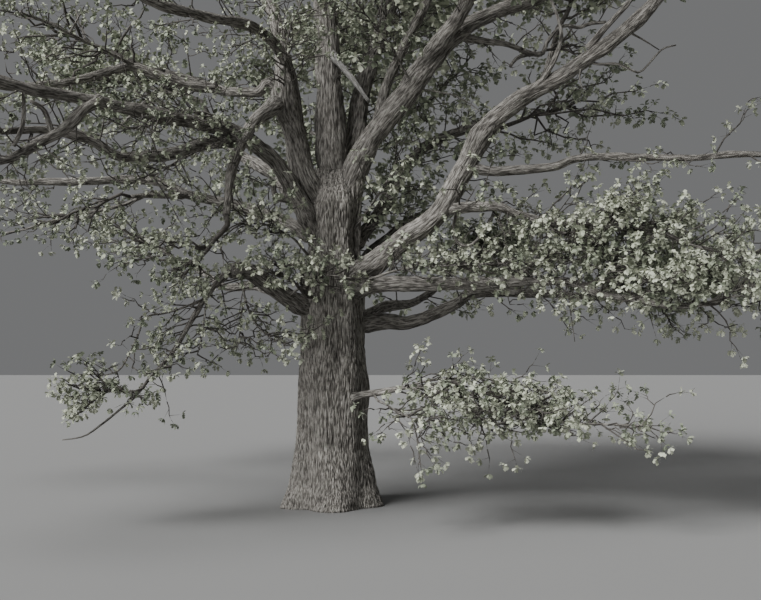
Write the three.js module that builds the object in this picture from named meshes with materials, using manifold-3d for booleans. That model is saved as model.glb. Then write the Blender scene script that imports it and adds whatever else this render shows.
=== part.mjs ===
// A very old open-grown oak in young leaf: a short thick trunk, crooked boughs and separate masses of leaves.
// Millimetres, +Z up. The origin is the middle of the flat cut at ground level, and -Y is the near side.
import * as THREE from "three";
import { mergeVertices } from "three/addons/utils/BufferGeometryUtils.js";
import Module from "manifold-3d";

const wasm = await Module();
wasm.setup();

// Trunk: height of the crotch, then [height, radius] pairs from the ground cut up to it.
const TRUNK_HEIGHT = 6750;
const TRUNK_RADII = [
  [0, 950], [450, 815], [1200, 735], [2600, 710], [3300, 665], [4200, 670],
  [5300, 530], [6200, 560], [6450, 550], [TRUNK_HEIGHT, 470],
];
const TRUNK_LEAN = [40, 30];
const TRUNK_SIDES = 20;
const TRUNK_STEPS = 13;
const ROOT_RIDGES = 5;
const ROOT_RIDGE_DEPTH = 0.13;
const ROOT_FLARE_HEIGHT = 1300;
const FLUTES = 7;
const FLUTE_DEPTH = 0.035;

// Boughs: number of sides, length of one straight step, and the swelling where a bough leaves its parent.
const BOUGH_SIDES = 6;
const BOUGH_STEP = 680;
const COLLAR_SWELL = 0.10;
const COLLAR_LENGTH = 1.6;
const CLEARANCE = 0.3;
const BOUGH_FINENESS = 0.05;

// Leaf masses: height against width of a space, twigs in each, and the leaf blades that stand for sprays.
const MASS_FLATNESS = 0.7;
const FEWEST_TWIGS = 4;
const MOST_TWIGS = 6;
const RADIUS_FOR_MOST_TWIGS = 2300;
const TWIG_REACH = 0.52;
const TWIG_REACH_SPREAD = 0.08;
const TWIG_SIDES = 3;
const TWIG_RADIUS = 42;
const TWIG_TIP_RADIUS = 20;
const STEM_STEPS = 3;
const STEM_PAST_MIDDLE = 0.4;
const STEM_END_RADIUS = 28;
const LEAF_LENGTH = 0.45;
const LEAF_WIDTH = 0.6;
const LEAF_THICKNESS = 0.07;
const LEAF_SUNK = 30;
const LEAF_PLACES = [0.5, 0.78, 1];
const SPACE_MARGIN = 12;
const MASS_FINENESS = 3;
const LEAF_WIDEST = 0.58;
const LIMB_MARGIN = 25;
const GOLDEN_ANGLE = Math.PI * (3 - Math.sqrt(5));

// Each bough: its diameters at the foot and the tip, and the few places that its middle line passes through.
const BOUGHS = [
  { name: "mid_leader", foot: 700, tip: 200,
    way: [[80, 80, 5800], [80, 140, 6600], [-70, 180, 7500], [-110, 200, 9600], [-260, 400, 12100], [-330, 500, 15400]] },
  { name: "right_leader", foot: 540, tip: 200,
    way: [[120, 20, 5900], [710, -100, 7380], [1680, -400, 8670], [2730, -600, 9810], [4420, -500, 10560],
      [5700, -200, 11400]] },
  { name: "left_leader", foot: 550, tip: 180,
    way: [[-100, 0, 5900], [-480, -100, 6660], [-670, -200, 7200], [-850, -350, 7800], [-1020, -450, 8420],
      [-1060, 100, 9400], [-1360, 500, 10600], [-2000, 800, 11700]] },
  { name: "mid_right", foot: 500, tip: 190,
    way: [[130, 250, 6000], [500, 600, 7970], [690, 1000, 9300], [1250, 1400, 11040], [1760, 2200, 13200]] },
  { name: "right_diag", foot: 480, tip: 200,
    way: [[150, -60, 4400], [960, -500, 5020], [2100, -1000, 5850], [2630, -1100, 6710], [3290, -1300, 7750],
      [4570, -1900, 8450], [5610, -2500, 9140], [6130, -2900, 9670], [6800, -3500, 10600]] },
  { name: "right_low", foot: 370, tip: 150,
    way: [[80, -80, 4380], [1000, -700, 4470], [2940, -1400, 4490], [3680, -1700, 4530], [4500, -2150, 4440]] },
  { name: "left_long", foot: 360, tip: 140,
    way: [[-200, -60, 5300], [-790, -400, 6480], [-1600, -1000, 7360], [-2610, -2000, 7530],
      [-4610, -4400, 7430], [-5900, -6000, 7500]] },
  { name: "left_low", foot: 370, tip: 260,
    way: [[-120, -80, 3900], [-930, -500, 4280], [-1600, -900, 4720], [-1950, -1150, 4740]] },
  { name: "left_low_fall", foot: 150, tip: 60, joins: "left_low",
    way: [[-1950, -1150, 4740], [-2380, -1500, 4180], [-2870, -2100, 3170], [-3240, -2400, 2620]] },
  { name: "left_up", foot: 260, tip: 130,
    way: [[-640, -160, 7400], [-780, 100, 8320], [-1020, -200, 9260], [-1570, -1400, 9550],
      [-2960, -3800, 9180], [-4100, -5500, 9800]] },
  { name: "left_droop", foot: 320, tip: 130,
    way: [[-1010, -440, 8380], [-1490, -1100, 7660], [-1840, -1500, 6770], [-1920, -1900, 5730]] },
  { name: "left_second", foot: 270, tip: 130,
    way: [[-1620, -1120, 7420], [-2640, -1800, 7020], [-3670, -2600, 6700], [-4200, -3000, 6940],
      [-4850, -3200, 7030], [-5200, -3600, 6950]] },
  { name: "left_arch", foot: 220, tip: 150,
    way: [[-1020, -440, 8400], [-1310, -500, 8710], [-1590, -400, 8530], [-2490, 0, 8740], [-3510, -200, 8990]] },
  { name: "left_mid", foot: 290, tip: 110,
    way: [[-150, 60, 5350], [-1380, 600, 6110], [-3190, 1000, 6590], [-4080, 1000, 6920], [-6000, 800, 6870],
      [-8300, 600, 6950]] },
  { name: "left_shelf", foot: 150, tip: 80,
    way: [[-3190, 1000, 6590], [-3850, 500, 6530], [-4280, 100, 6420]] },
  { name: "right_under", foot: 340, tip: 120,
    way: [[120, 0, 3650], [1100, 200, 3760], [1640, 400, 3790], [2600, 400, 4190], [3230, 300, 4440],
      [5900, 450, 4300]] },
  { name: "right_arch", foot: 230, tip: 140,
    way: [[2200, -1020, 5950], [3140, -1500, 5990], [3610, -1600, 5800], [4100, -1700, 5670]] },
  { name: "right_thin", foot: 190, tip: 100,
    way: [[2680, -1100, 6860], [3220, -1200, 6710], [4330, -1400, 6730], [5260, -1600, 6890],
      [8900, -2350, 6780]] },
  { name: "right_upper", foot: 360, tip: 180,
    way: [[1380, -300, 8280], [1830, -500, 9060], [2640, -1200, 9920], [3180, -3000, 10880],
      [3700, -4000, 12000]] },
  { name: "inner_stem", foot: 260, tip: 120,
    way: [[940, -150, 7700], [1170, 500, 8930], [1740, 600, 10230], [2030, 600, 10860], [2600, 800, 13200]] },
  { name: "cross_right", foot: 190, tip: 90,
    way: [[2560, -570, 9640], [3530, -100, 9660], [4030, 100, 9580]] },
  { name: "back_right", foot: 310, tip: 140,
    way: [[100, 80, 4900], [1000, 800, 6200], [1900, 1400, 7660], [3040, 1500, 8230], [3700, 1300, 8530],
      [4590, 1200, 9110], [4950, 1400, 10100]] },
  { name: "snag", foot: 180, tip: 70, dead: true,
    way: [[-110, 200, 9640], [370, -300, 8890], [770, -600, 8280]] },
  { name: "low_right_droop", foot: 170, tip: 80,
    way: [[150, -200, 2150], [1100, -1200, 2360], [1950, -1800, 2500]] },
  { name: "front_high", foot: 280, tip: 150,
    way: [[-200, 300, 10600], [-420, -1700, 11700], [-450, -3800, 13000]] },
  { name: "back_left", foot: 400, tip: 170,
    way: [[-120, 150, 5500], [-1500, 1900, 7300], [-2400, 3000, 7900], [-3400, 4300, 9200]] },
  { name: "back_mid", foot: 400, tip: 170,
    way: [[0, 150, 5700], [350, 1900, 7500], [250, 3200, 8400], [500, 4800, 10000]] },
  { name: "back_far_right", foot: 360, tip: 160,
    way: [[100, 150, 4500], [1400, 1900, 5900], [2700, 3500, 6900], [3600, 4600, 8300]] },
  { name: "back_low_left", foot: 320, tip: 130,
    way: [[-100, 120, 3700], [-1500, 1500, 4600], [-2600, 2900, 4700], [-3500, 3900, 5200]] },
  { name: "back_low_right", foot: 300, tip: 130,
    way: [[80, 120, 3300], [900, 1600, 4100], [1900, 3000, 4400], [2700, 4300, 5100]] },
];

// Each leaf mass: the bough whose tip carries it, the middle and radius of its space, and its twigs' seed.
const MASSES = [
  { on: "mid_leader", middle: [-300, 300, 17600], radius: 3000, seed: 15 },
  { on: "right_leader", middle: [8200, 100, 13000], radius: 3100, seed: 35 },
  { on: "left_leader", middle: [-4400, 1300, 13000], radius: 3300, seed: 9 },
  { on: "mid_right", middle: [2600, 4300, 15600], radius: 3100, seed: 24 },
  { on: "right_diag", middle: [8300, -4700, 12000], radius: 2700, seed: 14 },
  { on: "right_low", middle: [6100, -3000, 4450], radius: 1650, seed: 9 },
  { on: "left_long", middle: [-7500, -7400, 8000], radius: 2400, seed: 14 },
  { on: "left_low_fall", middle: [-3950, -2850, 2450], radius: 1000, seed: 39 },
  { on: "left_up", middle: [-4900, -7200, 11000], radius: 2500, seed: 14 },
  { on: "left_droop", middle: [-2500, -2150, 4800], radius: 1200, seed: 16 },
  { on: "left_second", middle: [-6800, -4300, 7300], radius: 1900, seed: 15 },
  { on: "left_arch", middle: [-5400, -500, 9700], radius: 2500, seed: 30 },
  { on: "left_mid", middle: [-9900, 900, 7800], radius: 3000, seed: 30 },
  { on: "left_shelf", middle: [-5400, -600, 5850], radius: 1500, seed: 38 },
  { on: "right_under", middle: [7800, 900, 4800], radius: 2100, seed: 24 },
  { on: "right_arch", middle: [5700, -2000, 5550], radius: 1700, seed: 14 },
  { on: "right_thin", middle: [10900, -2400, 7400], radius: 2800, seed: 15 },
  { on: "right_upper", middle: [4300, -5700, 13800], radius: 2900, seed: 19 },
  { on: "inner_stem", middle: [3700, -250, 15950], radius: 2800, seed: 24 },
  { on: "cross_right", middle: [5100, 700, 9900], radius: 1000, seed: 36 },
  { on: "back_right", middle: [5800, 2600, 12100], radius: 2600, seed: 24 },
  { on: "low_right_droop", middle: [3250, -2450, 2150], radius: 1900, seed: 10 },
  { on: "front_high", middle: [-700, -5800, 14900], radius: 3200, seed: 30 },
  { on: "back_left", middle: [-6200, 6000, 10600], radius: 3500, seed: 36 },
  { on: "back_mid", middle: [0, 7600, 12400], radius: 3400, seed: 14 },
  { on: "back_far_right", middle: [6300, 6600, 10100], radius: 3400, seed: 15 },
  { on: "back_low_left", middle: [-5600, 5600, 6200], radius: 2600, seed: 14 },
  { on: "back_low_right", middle: [4100, 6300, 6100], radius: 2300, seed: 19 },
  { on: "trunk", middle: [-950, -1750, 4650], radius: 1050, seed: 11, root: [-250, -500, 4150] },
];

const bark = new THREE.MeshStandardMaterial({ color: 0x6b645a, roughness: 0.95, metalness: 0 });
const deadWood = new THREE.MeshStandardMaterial({ color: 0x9a958c, roughness: 0.9, metalness: 0 });
const youngLeaf = new THREE.MeshStandardMaterial({ color: 0xa6ad8e, roughness: 0.65, metalness: 0 });

// A stream of numbers from 0 to 1 that is the same on every run.
function seeded(seed) {
  let state = seed;
  return () => {
    state = (state * 1664525 + 1013904223) % 4294967296;
    return state / 4294967296;
  };
}

function solidFrom(geometry) {
  geometry.deleteAttribute("normal");
  geometry.deleteAttribute("uv");
  const merged = mergeVertices(geometry, 1e-3);
  return new wasm.Manifold(new wasm.Mesh({
    numProp: 3,
    vertProperties: merged.attributes.position.array,
    triVerts: new Uint32Array(merged.index.array),
  }));
}

function meshFrom(name, solid, material) {
  const result = solid.getMesh();
  const geometry = new THREE.BufferGeometry();
  geometry.setAttribute("position", new THREE.BufferAttribute(new Float32Array(result.vertProperties), 3));
  geometry.setIndex(new THREE.BufferAttribute(new Uint32Array(result.triVerts), 1));
  geometry.computeVertexNormals();
  const mesh = new THREE.Mesh(geometry, material);
  mesh.name = name;
  return mesh;
}

// A cut or a join can leave crumbs or a sealed hollow, and the largest closed skin is the piece itself.
// `fineness` is how far a face may move when slivers are merged into their neighbours.
function mainPiece(solid, fineness) {
  const merged = solid.asOriginal().simplify(fineness);
  return merged.decompose().reduce((best, piece) => (piece.volume() > best.volume() ? piece : best));
}

function trunkRadius(height) {
  const next = Math.max(1, TRUNK_RADII.findIndex(([level]) => level >= height));
  const [low, lowRadius] = TRUNK_RADII[next - 1];
  const [high, highRadius] = TRUNK_RADII[next];
  return THREE.MathUtils.mapLinear(height, low, high, lowRadius, highRadius);
}

// The trunk swells into ridges over its roots, and its shaft is softly fluted.
function trunkSolid(extra) {
  const geometry = new THREE.CylinderGeometry(1, 1, 1, TRUNK_SIDES, TRUNK_STEPS);
  const place = geometry.attributes.position;
  for (let i = 0; i < place.count; i += 1) {
    const height = (place.getY(i) + 0.5) * TRUNK_HEIGHT;
    const angle = Math.atan2(place.getZ(i), place.getX(i));
    const spread = Math.hypot(place.getX(i), place.getZ(i));
    const flare = Math.max(0, 1 - height / ROOT_FLARE_HEIGHT);
    const ridges = ROOT_RIDGE_DEPTH * flare * Math.cos(ROOT_RIDGES * angle + 1);
    const flutes = FLUTE_DEPTH * Math.cos(FLUTES * angle + height / TRUNK_HEIGHT);
    const radius = spread * (trunkRadius(height) * (1 + ridges + flutes) + extra);
    const rise = height / TRUNK_HEIGHT;
    place.setXYZ(
      i,
      TRUNK_LEAN[0] * rise + radius * Math.cos(angle),
      TRUNK_LEAN[1] * rise + radius * Math.sin(angle),
      height,
    );
  }
  geometry.index.array.reverse();
  return solidFrom(geometry);
}

function curveThrough(points) {
  return new THREE.CatmullRomCurve3(points.map((p) => new THREE.Vector3(...p)), false, "catmullrom", 0.5);
}

// A tapering tube: a cylinder whose rings are set square to the curve, `extra` larger all over.
function tubeSolid(curve, sides, steps, radiusAt, extra = 0) {
  const geometry = new THREE.CylinderGeometry(1, 1, 1, sides, steps);
  const frames = curve.computeFrenetFrames(steps, false);
  const place = geometry.attributes.position;
  for (let i = 0; i < place.count; i += 1) {
    const along = place.getY(i) + 0.5;
    const ring = Math.round(along * steps);
    const radius = radiusAt(along) + extra;
    const point = curve.getPointAt(THREE.MathUtils.clamp(along, 0, 1));
    const beyond = ring === 0 ? -extra : ring === steps ? extra : 0;
    point.addScaledVector(frames.tangents[ring], beyond);
    point.addScaledVector(frames.binormals[ring], place.getX(i) * radius);
    point.addScaledVector(frames.normals[ring], place.getZ(i) * radius);
    place.setXYZ(i, point.x, point.y, point.z);
  }
  return solidFrom(geometry);
}

function boughRadius(bough, length, along) {
  const foot = bough.foot / 2;
  const plain = THREE.MathUtils.lerp(foot, bough.tip / 2, along);
  const collar = bough.joins ? 0 : COLLAR_SWELL * Math.exp(-(along * length) / (COLLAR_LENGTH * bough.foot));
  return plain * (1 + collar);
}

function boughSolid(bough, extra) {
  const length = bough.curve.getLength();
  const steps = Math.max(4, Math.round(length / BOUGH_STEP));
  return tubeSolid(bough.curve, BOUGH_SIDES, steps, (along) => boughRadius(bough, length, along), extra);
}

function boxesMeet(a, b) {
  return [0, 1, 2].every((axis) => a.min[axis] < b.max[axis] && b.min[axis] < a.max[axis]);
}

// Shortest distance between two straight runs a-b and c-d.
function runsApart(a, b, c, d) {
  const ab = b.clone().sub(a);
  const cd = d.clone().sub(c);
  const ca = a.clone().sub(c);
  const abab = ab.dot(ab);
  const cdcd = cd.dot(cd);
  const abcd = ab.dot(cd);
  const abca = ab.dot(ca);
  const cdca = cd.dot(ca);
  const bend = abab * cdcd - abcd * abcd;
  let s = bend > 1e-6 ? THREE.MathUtils.clamp((abcd * cdca - cdcd * abca) / bend, 0, 1) : 0;
  const t = THREE.MathUtils.clamp((abcd * s + cdca) / cdcd, 0, 1);
  s = THREE.MathUtils.clamp((abcd * t - abca) / abab, 0, 1);
  return a.clone().addScaledVector(ab, s).distanceTo(c.clone().addScaledVector(cd, t));
}

// The limbs as straight runs with a radius, for keeping twigs and leaves off them.
function limbRuns() {
  const runs = [];
  for (const bough of BOUGHS) {
    const length = bough.curve.getLength();
    const steps = Math.max(4, Math.round(length / BOUGH_STEP));
    const points = bough.curve.getSpacedPoints(steps);
    for (let i = 0; i < steps; i += 1) {
      runs.push({ a: points[i], b: points[i + 1], radius: boughRadius(bough, length, i / steps) });
    }
  }
  for (let i = 1; i < TRUNK_RADII.length; i += 1) {
    const [low, lowRadius] = TRUNK_RADII[i - 1];
    const [high, highRadius] = TRUNK_RADII[i];
    runs.push({
      a: new THREE.Vector3(0, 0, low),
      b: new THREE.Vector3(0, 0, high),
      radius: Math.max(lowRadius, highRadius) * 1.15,
    });
  }
  return runs;
}

// A place counts as a mass's own when it is nearer to that mass than to any other, each by its own radius.
function squashed(point) {
  return new THREE.Vector3(point.x, point.y, point.z / MASS_FLATNESS);
}

function inSpace(mass, point) {
  const spot = squashed(point);
  const own = spot.distanceToSquared(mass.centre) - mass.radius ** 2;
  if (own > 0) {
    return false;
  }
  return MASSES.every((other) => {
    if (other === mass) {
      return true;
    }
    const theirs = spot.distanceToSquared(other.centre) - other.radius ** 2;
    return (theirs - own) / (2 * other.centre.distanceTo(mass.centre)) > SPACE_MARGIN;
  });
}

function clearOfLimbs(runs, from, to, reach) {
  return runs.every((run) => runsApart(from, to, run.a, run.b) > run.radius + reach + LIMB_MARGIN);
}

// A leaf blade: a flat eight-faced lozenge, widest past its middle, its root at `from`.
function leafSolid(from, heading, across, length) {
  const up = new THREE.Vector3().crossVectors(heading, across);
  const geometry = new THREE.OctahedronGeometry(1);
  const place = geometry.attributes.position;
  for (let i = 0; i < place.count; i += 1) {
    const [x, y, z] = [place.getX(i), place.getY(i), place.getZ(i)];
    const along = x > 0.5 ? 1 : x < -0.5 ? 0 : LEAF_WIDEST;
    const point = from.clone()
      .addScaledVector(heading, along * length)
      .addScaledVector(across, (y * length * LEAF_WIDTH) / 2)
      .addScaledVector(up, (z * length * LEAF_THICKNESS) / 2);
    place.setXYZ(i, point.x, point.y, point.z);
  }
  return solidFrom(geometry);
}

// Twigs reach for places spread evenly over the space, and leaves stand on them to both sides and at the tip.
function massSolid(mass, runs) {
  const random = seeded(mass.seed * 7919);
  const pieces = [mass.stem];
  const middle = new THREE.Vector3(...mass.middle);
  const length = mass.radius * LEAF_LENGTH;
  const addLeaf = (from, heading) => {
    const across = new THREE.Vector3(0, 0, 1).cross(heading).normalize();
    const tilt = (pieces.length % 2 ? 1 : -1) * (0.3 + 0.7 * random());
    across.applyAxisAngle(heading, tilt);
    const root = from.clone().addScaledVector(heading, -LEAF_SUNK);
    const tip = root.clone().addScaledVector(heading, length);
    const widest = root.clone().addScaledVector(heading, length * LEAF_WIDEST);
    const sides = [1, -1].map((side) => (
      widest.clone().addScaledVector(across, (side * length * LEAF_WIDTH) / 2)
    ));
    if ([tip, ...sides].every((point) => inSpace(mass, point))
      && clearOfLimbs(runs, root, tip, (length * LEAF_WIDTH) / 2)) {
      pieces.push(leafSolid(root, heading, across, length));
    }
  };
  const fullness = Math.min(1, mass.radius / RADIUS_FOR_MOST_TWIGS);
  const twigs = Math.max(FEWEST_TWIGS, Math.round(MOST_TWIGS * fullness));
  for (let i = 0; i < twigs; i += 1) {
    const height = 1 - (2 * i + 1) / twigs;
    const turn = i * GOLDEN_ANGLE + random() * 0.6 + mass.seed;
    const level = Math.sqrt(1 - height * height);
    const aim = new THREE.Vector3(level * Math.cos(turn), level * Math.sin(turn), height);
    aim.addScaledVector(mass.heading, 0.3).normalize();
    const end = middle.clone();
    const reach = mass.radius * (TWIG_REACH + TWIG_REACH_SPREAD * random());
    end.x += aim.x * reach;
    end.y += aim.y * reach;
    end.z += aim.z * reach * MASS_FLATNESS;
    const share = THREE.MathUtils.clamp(0.42 + 0.3 * aim.dot(mass.heading) + 0.1 * random(), 0.15, 0.9);
    const start = mass.stemCurve.getPointAt(share);
    if (!inSpace(mass, end) || !clearOfLimbs(runs, start, end, TWIG_RADIUS)) {
      continue;
    }
    const twig = new THREE.LineCurve3(start, end);
    pieces.push(tubeSolid(twig, TWIG_SIDES, 1, (along) => (
      THREE.MathUtils.lerp(TWIG_RADIUS, TWIG_TIP_RADIUS, along)
    )));
    const run = end.clone().sub(start).normalize();
    LEAF_PLACES.forEach((part, place) => {
      const swing = part === 1 ? 0 : (place % 2 ? 1 : -1) * (0.75 + 0.3 * random());
      const heading = run.clone().applyAxisAngle(new THREE.Vector3(0, 0, 1), swing);
      heading.z -= 0.2 * random();
      addLeaf(start.clone().lerp(end, part), heading.normalize());
    });
  }
  addLeaf(mass.stemCurve.getPointAt(1), mass.heading);
  return mainPiece(wasm.Manifold.union(pieces), MASS_FINENESS);
}

const tree = new THREE.Group();
tree.name = "oak_tree";
const trunk = trunkSolid(0);
tree.add(meshFrom("trunk", trunk, bark));

// Boughs are set in order of size, each cut to a hair's clearance round the ones before it.
const placed = [trunkSolid(CLEARANCE * 1.2)];
for (const bough of BOUGHS) {
  bough.curve = curveThrough(bough.way);
  if (bough.joins) {
    const along = bough.curve.getTangentAt(0);
    bough.curve.points[0].addScaledVector(along, CLEARANCE);
    bough.curve.updateArcLengths();
  }
  let solid = boughSolid(bough, 0);
  for (const earlier of placed) {
    if (boxesMeet(solid.boundingBox(), earlier.boundingBox())) {
      solid = solid.subtract(earlier);
    }
  }
  placed.push(boughSolid(bough, CLEARANCE * 1.2));
  tree.add(meshFrom(`bough_${bough.name}`, mainPiece(solid, BOUGH_FINENESS), bough.dead ? deadWood : bark));
}

// Each mass grows from one stem, which starts face to face with the tip of its bough or leaves the trunk.
const runs = limbRuns();
for (const mass of MASSES) {
  mass.centre = squashed(new THREE.Vector3(...mass.middle));
}
for (const mass of MASSES) {
  const bough = BOUGHS.find(({ name }) => name === mass.on);
  const middle = new THREE.Vector3(...mass.middle);
  const foot = bough ? bough.curve.getPointAt(1) : new THREE.Vector3(...mass.root);
  const leaving = bough ? bough.curve.getTangentAt(1) : new THREE.Vector3(-0.3, -1, 0.2).normalize();
  const start = foot.clone().addScaledVector(leaving, bough ? CLEARANCE : 0);
  const span = middle.distanceTo(start);
  mass.heading = middle.clone().sub(start).normalize();
  const far = middle.clone().addScaledVector(mass.heading, mass.radius * STEM_PAST_MIDDLE);
  mass.stemCurve = new THREE.CatmullRomCurve3(
    [start, start.clone().addScaledVector(leaving, span * 0.3), middle, far], false, "catmullrom", 0.5,
  );
  const startRadius = bough ? bough.tip * 0.46 : TWIG_RADIUS;
  mass.stem = tubeSolid(mass.stemCurve, TWIG_SIDES, STEM_STEPS, (along) => (
    THREE.MathUtils.lerp(startRadius, STEM_END_RADIUS, along)
  ));
  let solid = massSolid(mass, runs);
  if (!bough) {
    solid = mainPiece(solid.subtract(placed[0]), BOUGH_FINENESS);
  }
  tree.add(meshFrom(`leaves_${mass.on}`, solid, youngLeaf));
}

export default tree;
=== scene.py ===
import math

import bpy
import numpy as np
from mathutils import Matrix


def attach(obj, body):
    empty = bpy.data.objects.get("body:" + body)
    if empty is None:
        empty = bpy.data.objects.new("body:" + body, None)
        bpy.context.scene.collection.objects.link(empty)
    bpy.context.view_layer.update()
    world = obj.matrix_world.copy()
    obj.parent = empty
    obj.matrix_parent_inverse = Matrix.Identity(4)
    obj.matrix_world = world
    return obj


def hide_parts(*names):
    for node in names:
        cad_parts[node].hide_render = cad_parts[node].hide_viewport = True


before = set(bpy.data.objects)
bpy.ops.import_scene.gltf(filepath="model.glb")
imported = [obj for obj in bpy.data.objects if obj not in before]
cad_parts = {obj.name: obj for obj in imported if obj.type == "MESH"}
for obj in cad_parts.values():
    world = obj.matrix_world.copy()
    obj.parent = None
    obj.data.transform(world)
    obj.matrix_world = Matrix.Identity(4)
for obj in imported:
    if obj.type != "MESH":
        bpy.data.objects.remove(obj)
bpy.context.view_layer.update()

# The camera stands about 20 m in front of the trunk at 3 m height, tilted up by 3.5 degrees.
# Its lens gives the photograph's framing, in which the trunk's foot and the first 7 m of the crown show.
PHOTO_WIDTH_PX = 761
FOCAL_LENGTH_PX = 960
SENSOR_MM = 36
CAMERA_PLACE = (1.01, -20.0, 3.0)
CAMERA_TILT = 3.52
SIGHT_LENGTH = 400
camera = bpy.data.objects.new("camera", bpy.data.cameras.new("camera"))
bpy.context.scene.collection.objects.link(camera)
bpy.context.scene.camera = camera
camera.data.sensor_width = SENSOR_MM
camera.data.lens = FOCAL_LENGTH_PX * SENSOR_MM / PHOTO_WIDTH_PX
camera.data.clip_end = SIGHT_LENGTH
camera.location = CAMERA_PLACE
camera.rotation_euler = (math.radians(90 + CAMERA_TILT), 0, 0)

# The studio: a soft key light from the upper left of the near side, a broad weaker one lower down that
# reaches the trunk under its crown, an even surround, and a plain pale floor. None of it is part of the tree.
# Each light: its strength, and in degrees its spread, its tilt from overhead and its turn.
LIGHTS = {"key_light": (4.4, 28, 43, -50), "low_light": (2.9, 50, 70, -44)}
SURROUND_GREY = (0.34, 0.344, 0.348, 1)
SURROUND_STRENGTH = 0.50
FLOOR_HALF = 160.0
FLOOR_GREY = (0.21, 0.21, 0.207, 1)
FLOOR_ROUGHNESS = 0.9


def feed(owner, node, settings):
    """Sets a node's inputs to plain values, or links them to the outputs given; returns its own outputs."""
    for setting, value in settings.items():
        if isinstance(value, bpy.types.NodeSocket):
            owner.node_tree.links.new(value, node.inputs[setting])
        else:
            node.inputs[setting].default_value = value
    return node.outputs


def new_finish(name, settings):
    """A new material with these plain settings, and its shader."""
    finish = bpy.data.materials.new(name)
    finish.use_nodes = True
    shader = finish.node_tree.nodes["Principled BSDF"]
    feed(finish, shader, settings)
    return finish, shader


def piece_from(name, points, faces, finishes, dealt=None, smooth=True):
    """One mesh object from an array of points and arrays of faces, each array with its own corner count."""
    mesh = bpy.data.meshes.new(name)
    corners = np.concatenate([face.ravel() for face in faces]).astype(np.int32)
    counts = np.concatenate([np.full(len(face), face.shape[1]) for face in faces])
    starts = np.concatenate([[0], np.cumsum(counts)[:-1]]).astype(np.int32)
    mesh.vertices.add(len(points))
    mesh.vertices.foreach_set("co", points.astype(np.float32).ravel())
    mesh.loops.add(len(corners))
    mesh.loops.foreach_set("vertex_index", corners)
    mesh.polygons.add(len(starts))
    mesh.polygons.foreach_set("loop_start", starts)
    for finish in finishes:
        mesh.materials.append(finish)
    if dealt is not None:
        mesh.polygons.foreach_set("material_index", dealt.astype(np.int32))
    mesh.update(calc_edges=True)
    mesh.validate()
    if smooth:
        mesh.shade_smooth()
    piece = bpy.data.objects.new(name, mesh)
    bpy.context.scene.collection.objects.link(piece)
    return piece


for name, (strength, spread, tilt, turn) in LIGHTS.items():
    light = bpy.data.objects.new(name, bpy.data.lights.new(name, "SUN"))
    bpy.context.scene.collection.objects.link(light)
    light.data.energy = strength
    light.data.angle = math.radians(spread)
    light.rotation_euler = (math.radians(tilt), 0, math.radians(turn))
surround = bpy.data.worlds.new("surround")
bpy.context.scene.world = surround
surround.use_nodes = True
surround_light = surround.node_tree.nodes["Background"]
feed(surround, surround_light, {"Color": SURROUND_GREY, "Strength": SURROUND_STRENGTH})

floor_finish, _ = new_finish("pale_floor", {"Base Color": FLOOR_GREY, "Roughness": FLOOR_ROUGHNESS})
floor_corners = np.array([(-1, -1, 0), (1, -1, 0), (1, 1, 0), (-1, 1, 0)]) * FLOOR_HALF
floor = piece_from("floor", floor_corners, [np.array([(0, 1, 2, 3)])], [floor_finish], smooth=False)

# The trunk: one short thick stem of living oak, flared over its roots and softly fluted, with deeply
# furrowed bark. It is cut flat at ground level, and at its head it widens again and parts into leaders.
TRUNK_TOP = 6.95
TRUNK_RADII = (
    (0, 0.95), (0.45, 0.815), (1.2, 0.735), (2.6, 0.71), (3.3, 0.655), (4.2, 0.65),
    (5.3, 0.505), (6.2, 0.52), (6.45, 0.48), (6.7, 0.36), (TRUNK_TOP, 0.22),
)
TRUNK_LEAN = (0.04, 0.03)
TRUNK_COLUMNS = 520
TRUNK_ROWS = 170
ROOT_RIDGES = 5
ROOT_RIDGE_DEPTH = 0.13
ROOT_FLARE_HEIGHT = 1.3
FLUTES = 7
FLUTE_DEPTH = 0.035
FOLD_HEIGHT = 5.2
FOLD_SPREAD = 0.9
FOLD_DEPTH = 0.05
TRUNK_LUMPS, TRUNK_LUMP_PITCH = 0.04, 1.7
TRUNK_BARK_SEED, TRUNK_LUMP_SEED = 11, 3
# The four leaders inside the trunk's head: middle and radius where they start and at its top.
LEADERS_START = 5.9
LEADERS_IN_HEAD = (
    ((-0.12, 0.00, 0.30), (-0.57, -0.14, 0.245)),
    ((0.07, 0.08, 0.36), (0.03, 0.14, 0.31)),
    ((0.12, 0.02, 0.30), (0.53, -0.06, 0.25)),
    ((0.14, 0.25, 0.28), (0.31, 0.41, 0.23)),
)
LEADER_BLEND = 20
LEADER_LEAST = 0.05
HEAD_PROUD = 1.02
HEAD_SUNK = 0.90
# A knot hole, an old scar and two long folds: turn in degrees, height, half width, half length and depth.
TRUNK_HOLLOWS = (
    (-58, 4.62, 0.075, 0.075, 0.13), (-79, 3.04, 0.05, 0.11, 0.05),
    (-150, 5.65, 0.07, 0.55, 0.09), (-20, 5.60, 0.06, 0.55, 0.08),
)
# How far the bark in these hollows is drawn towards furrow height: this sinks it a little and darkens its
# colour as painted shade.
HOLLOW_SINK_AND_SHADE = 0.85
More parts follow.
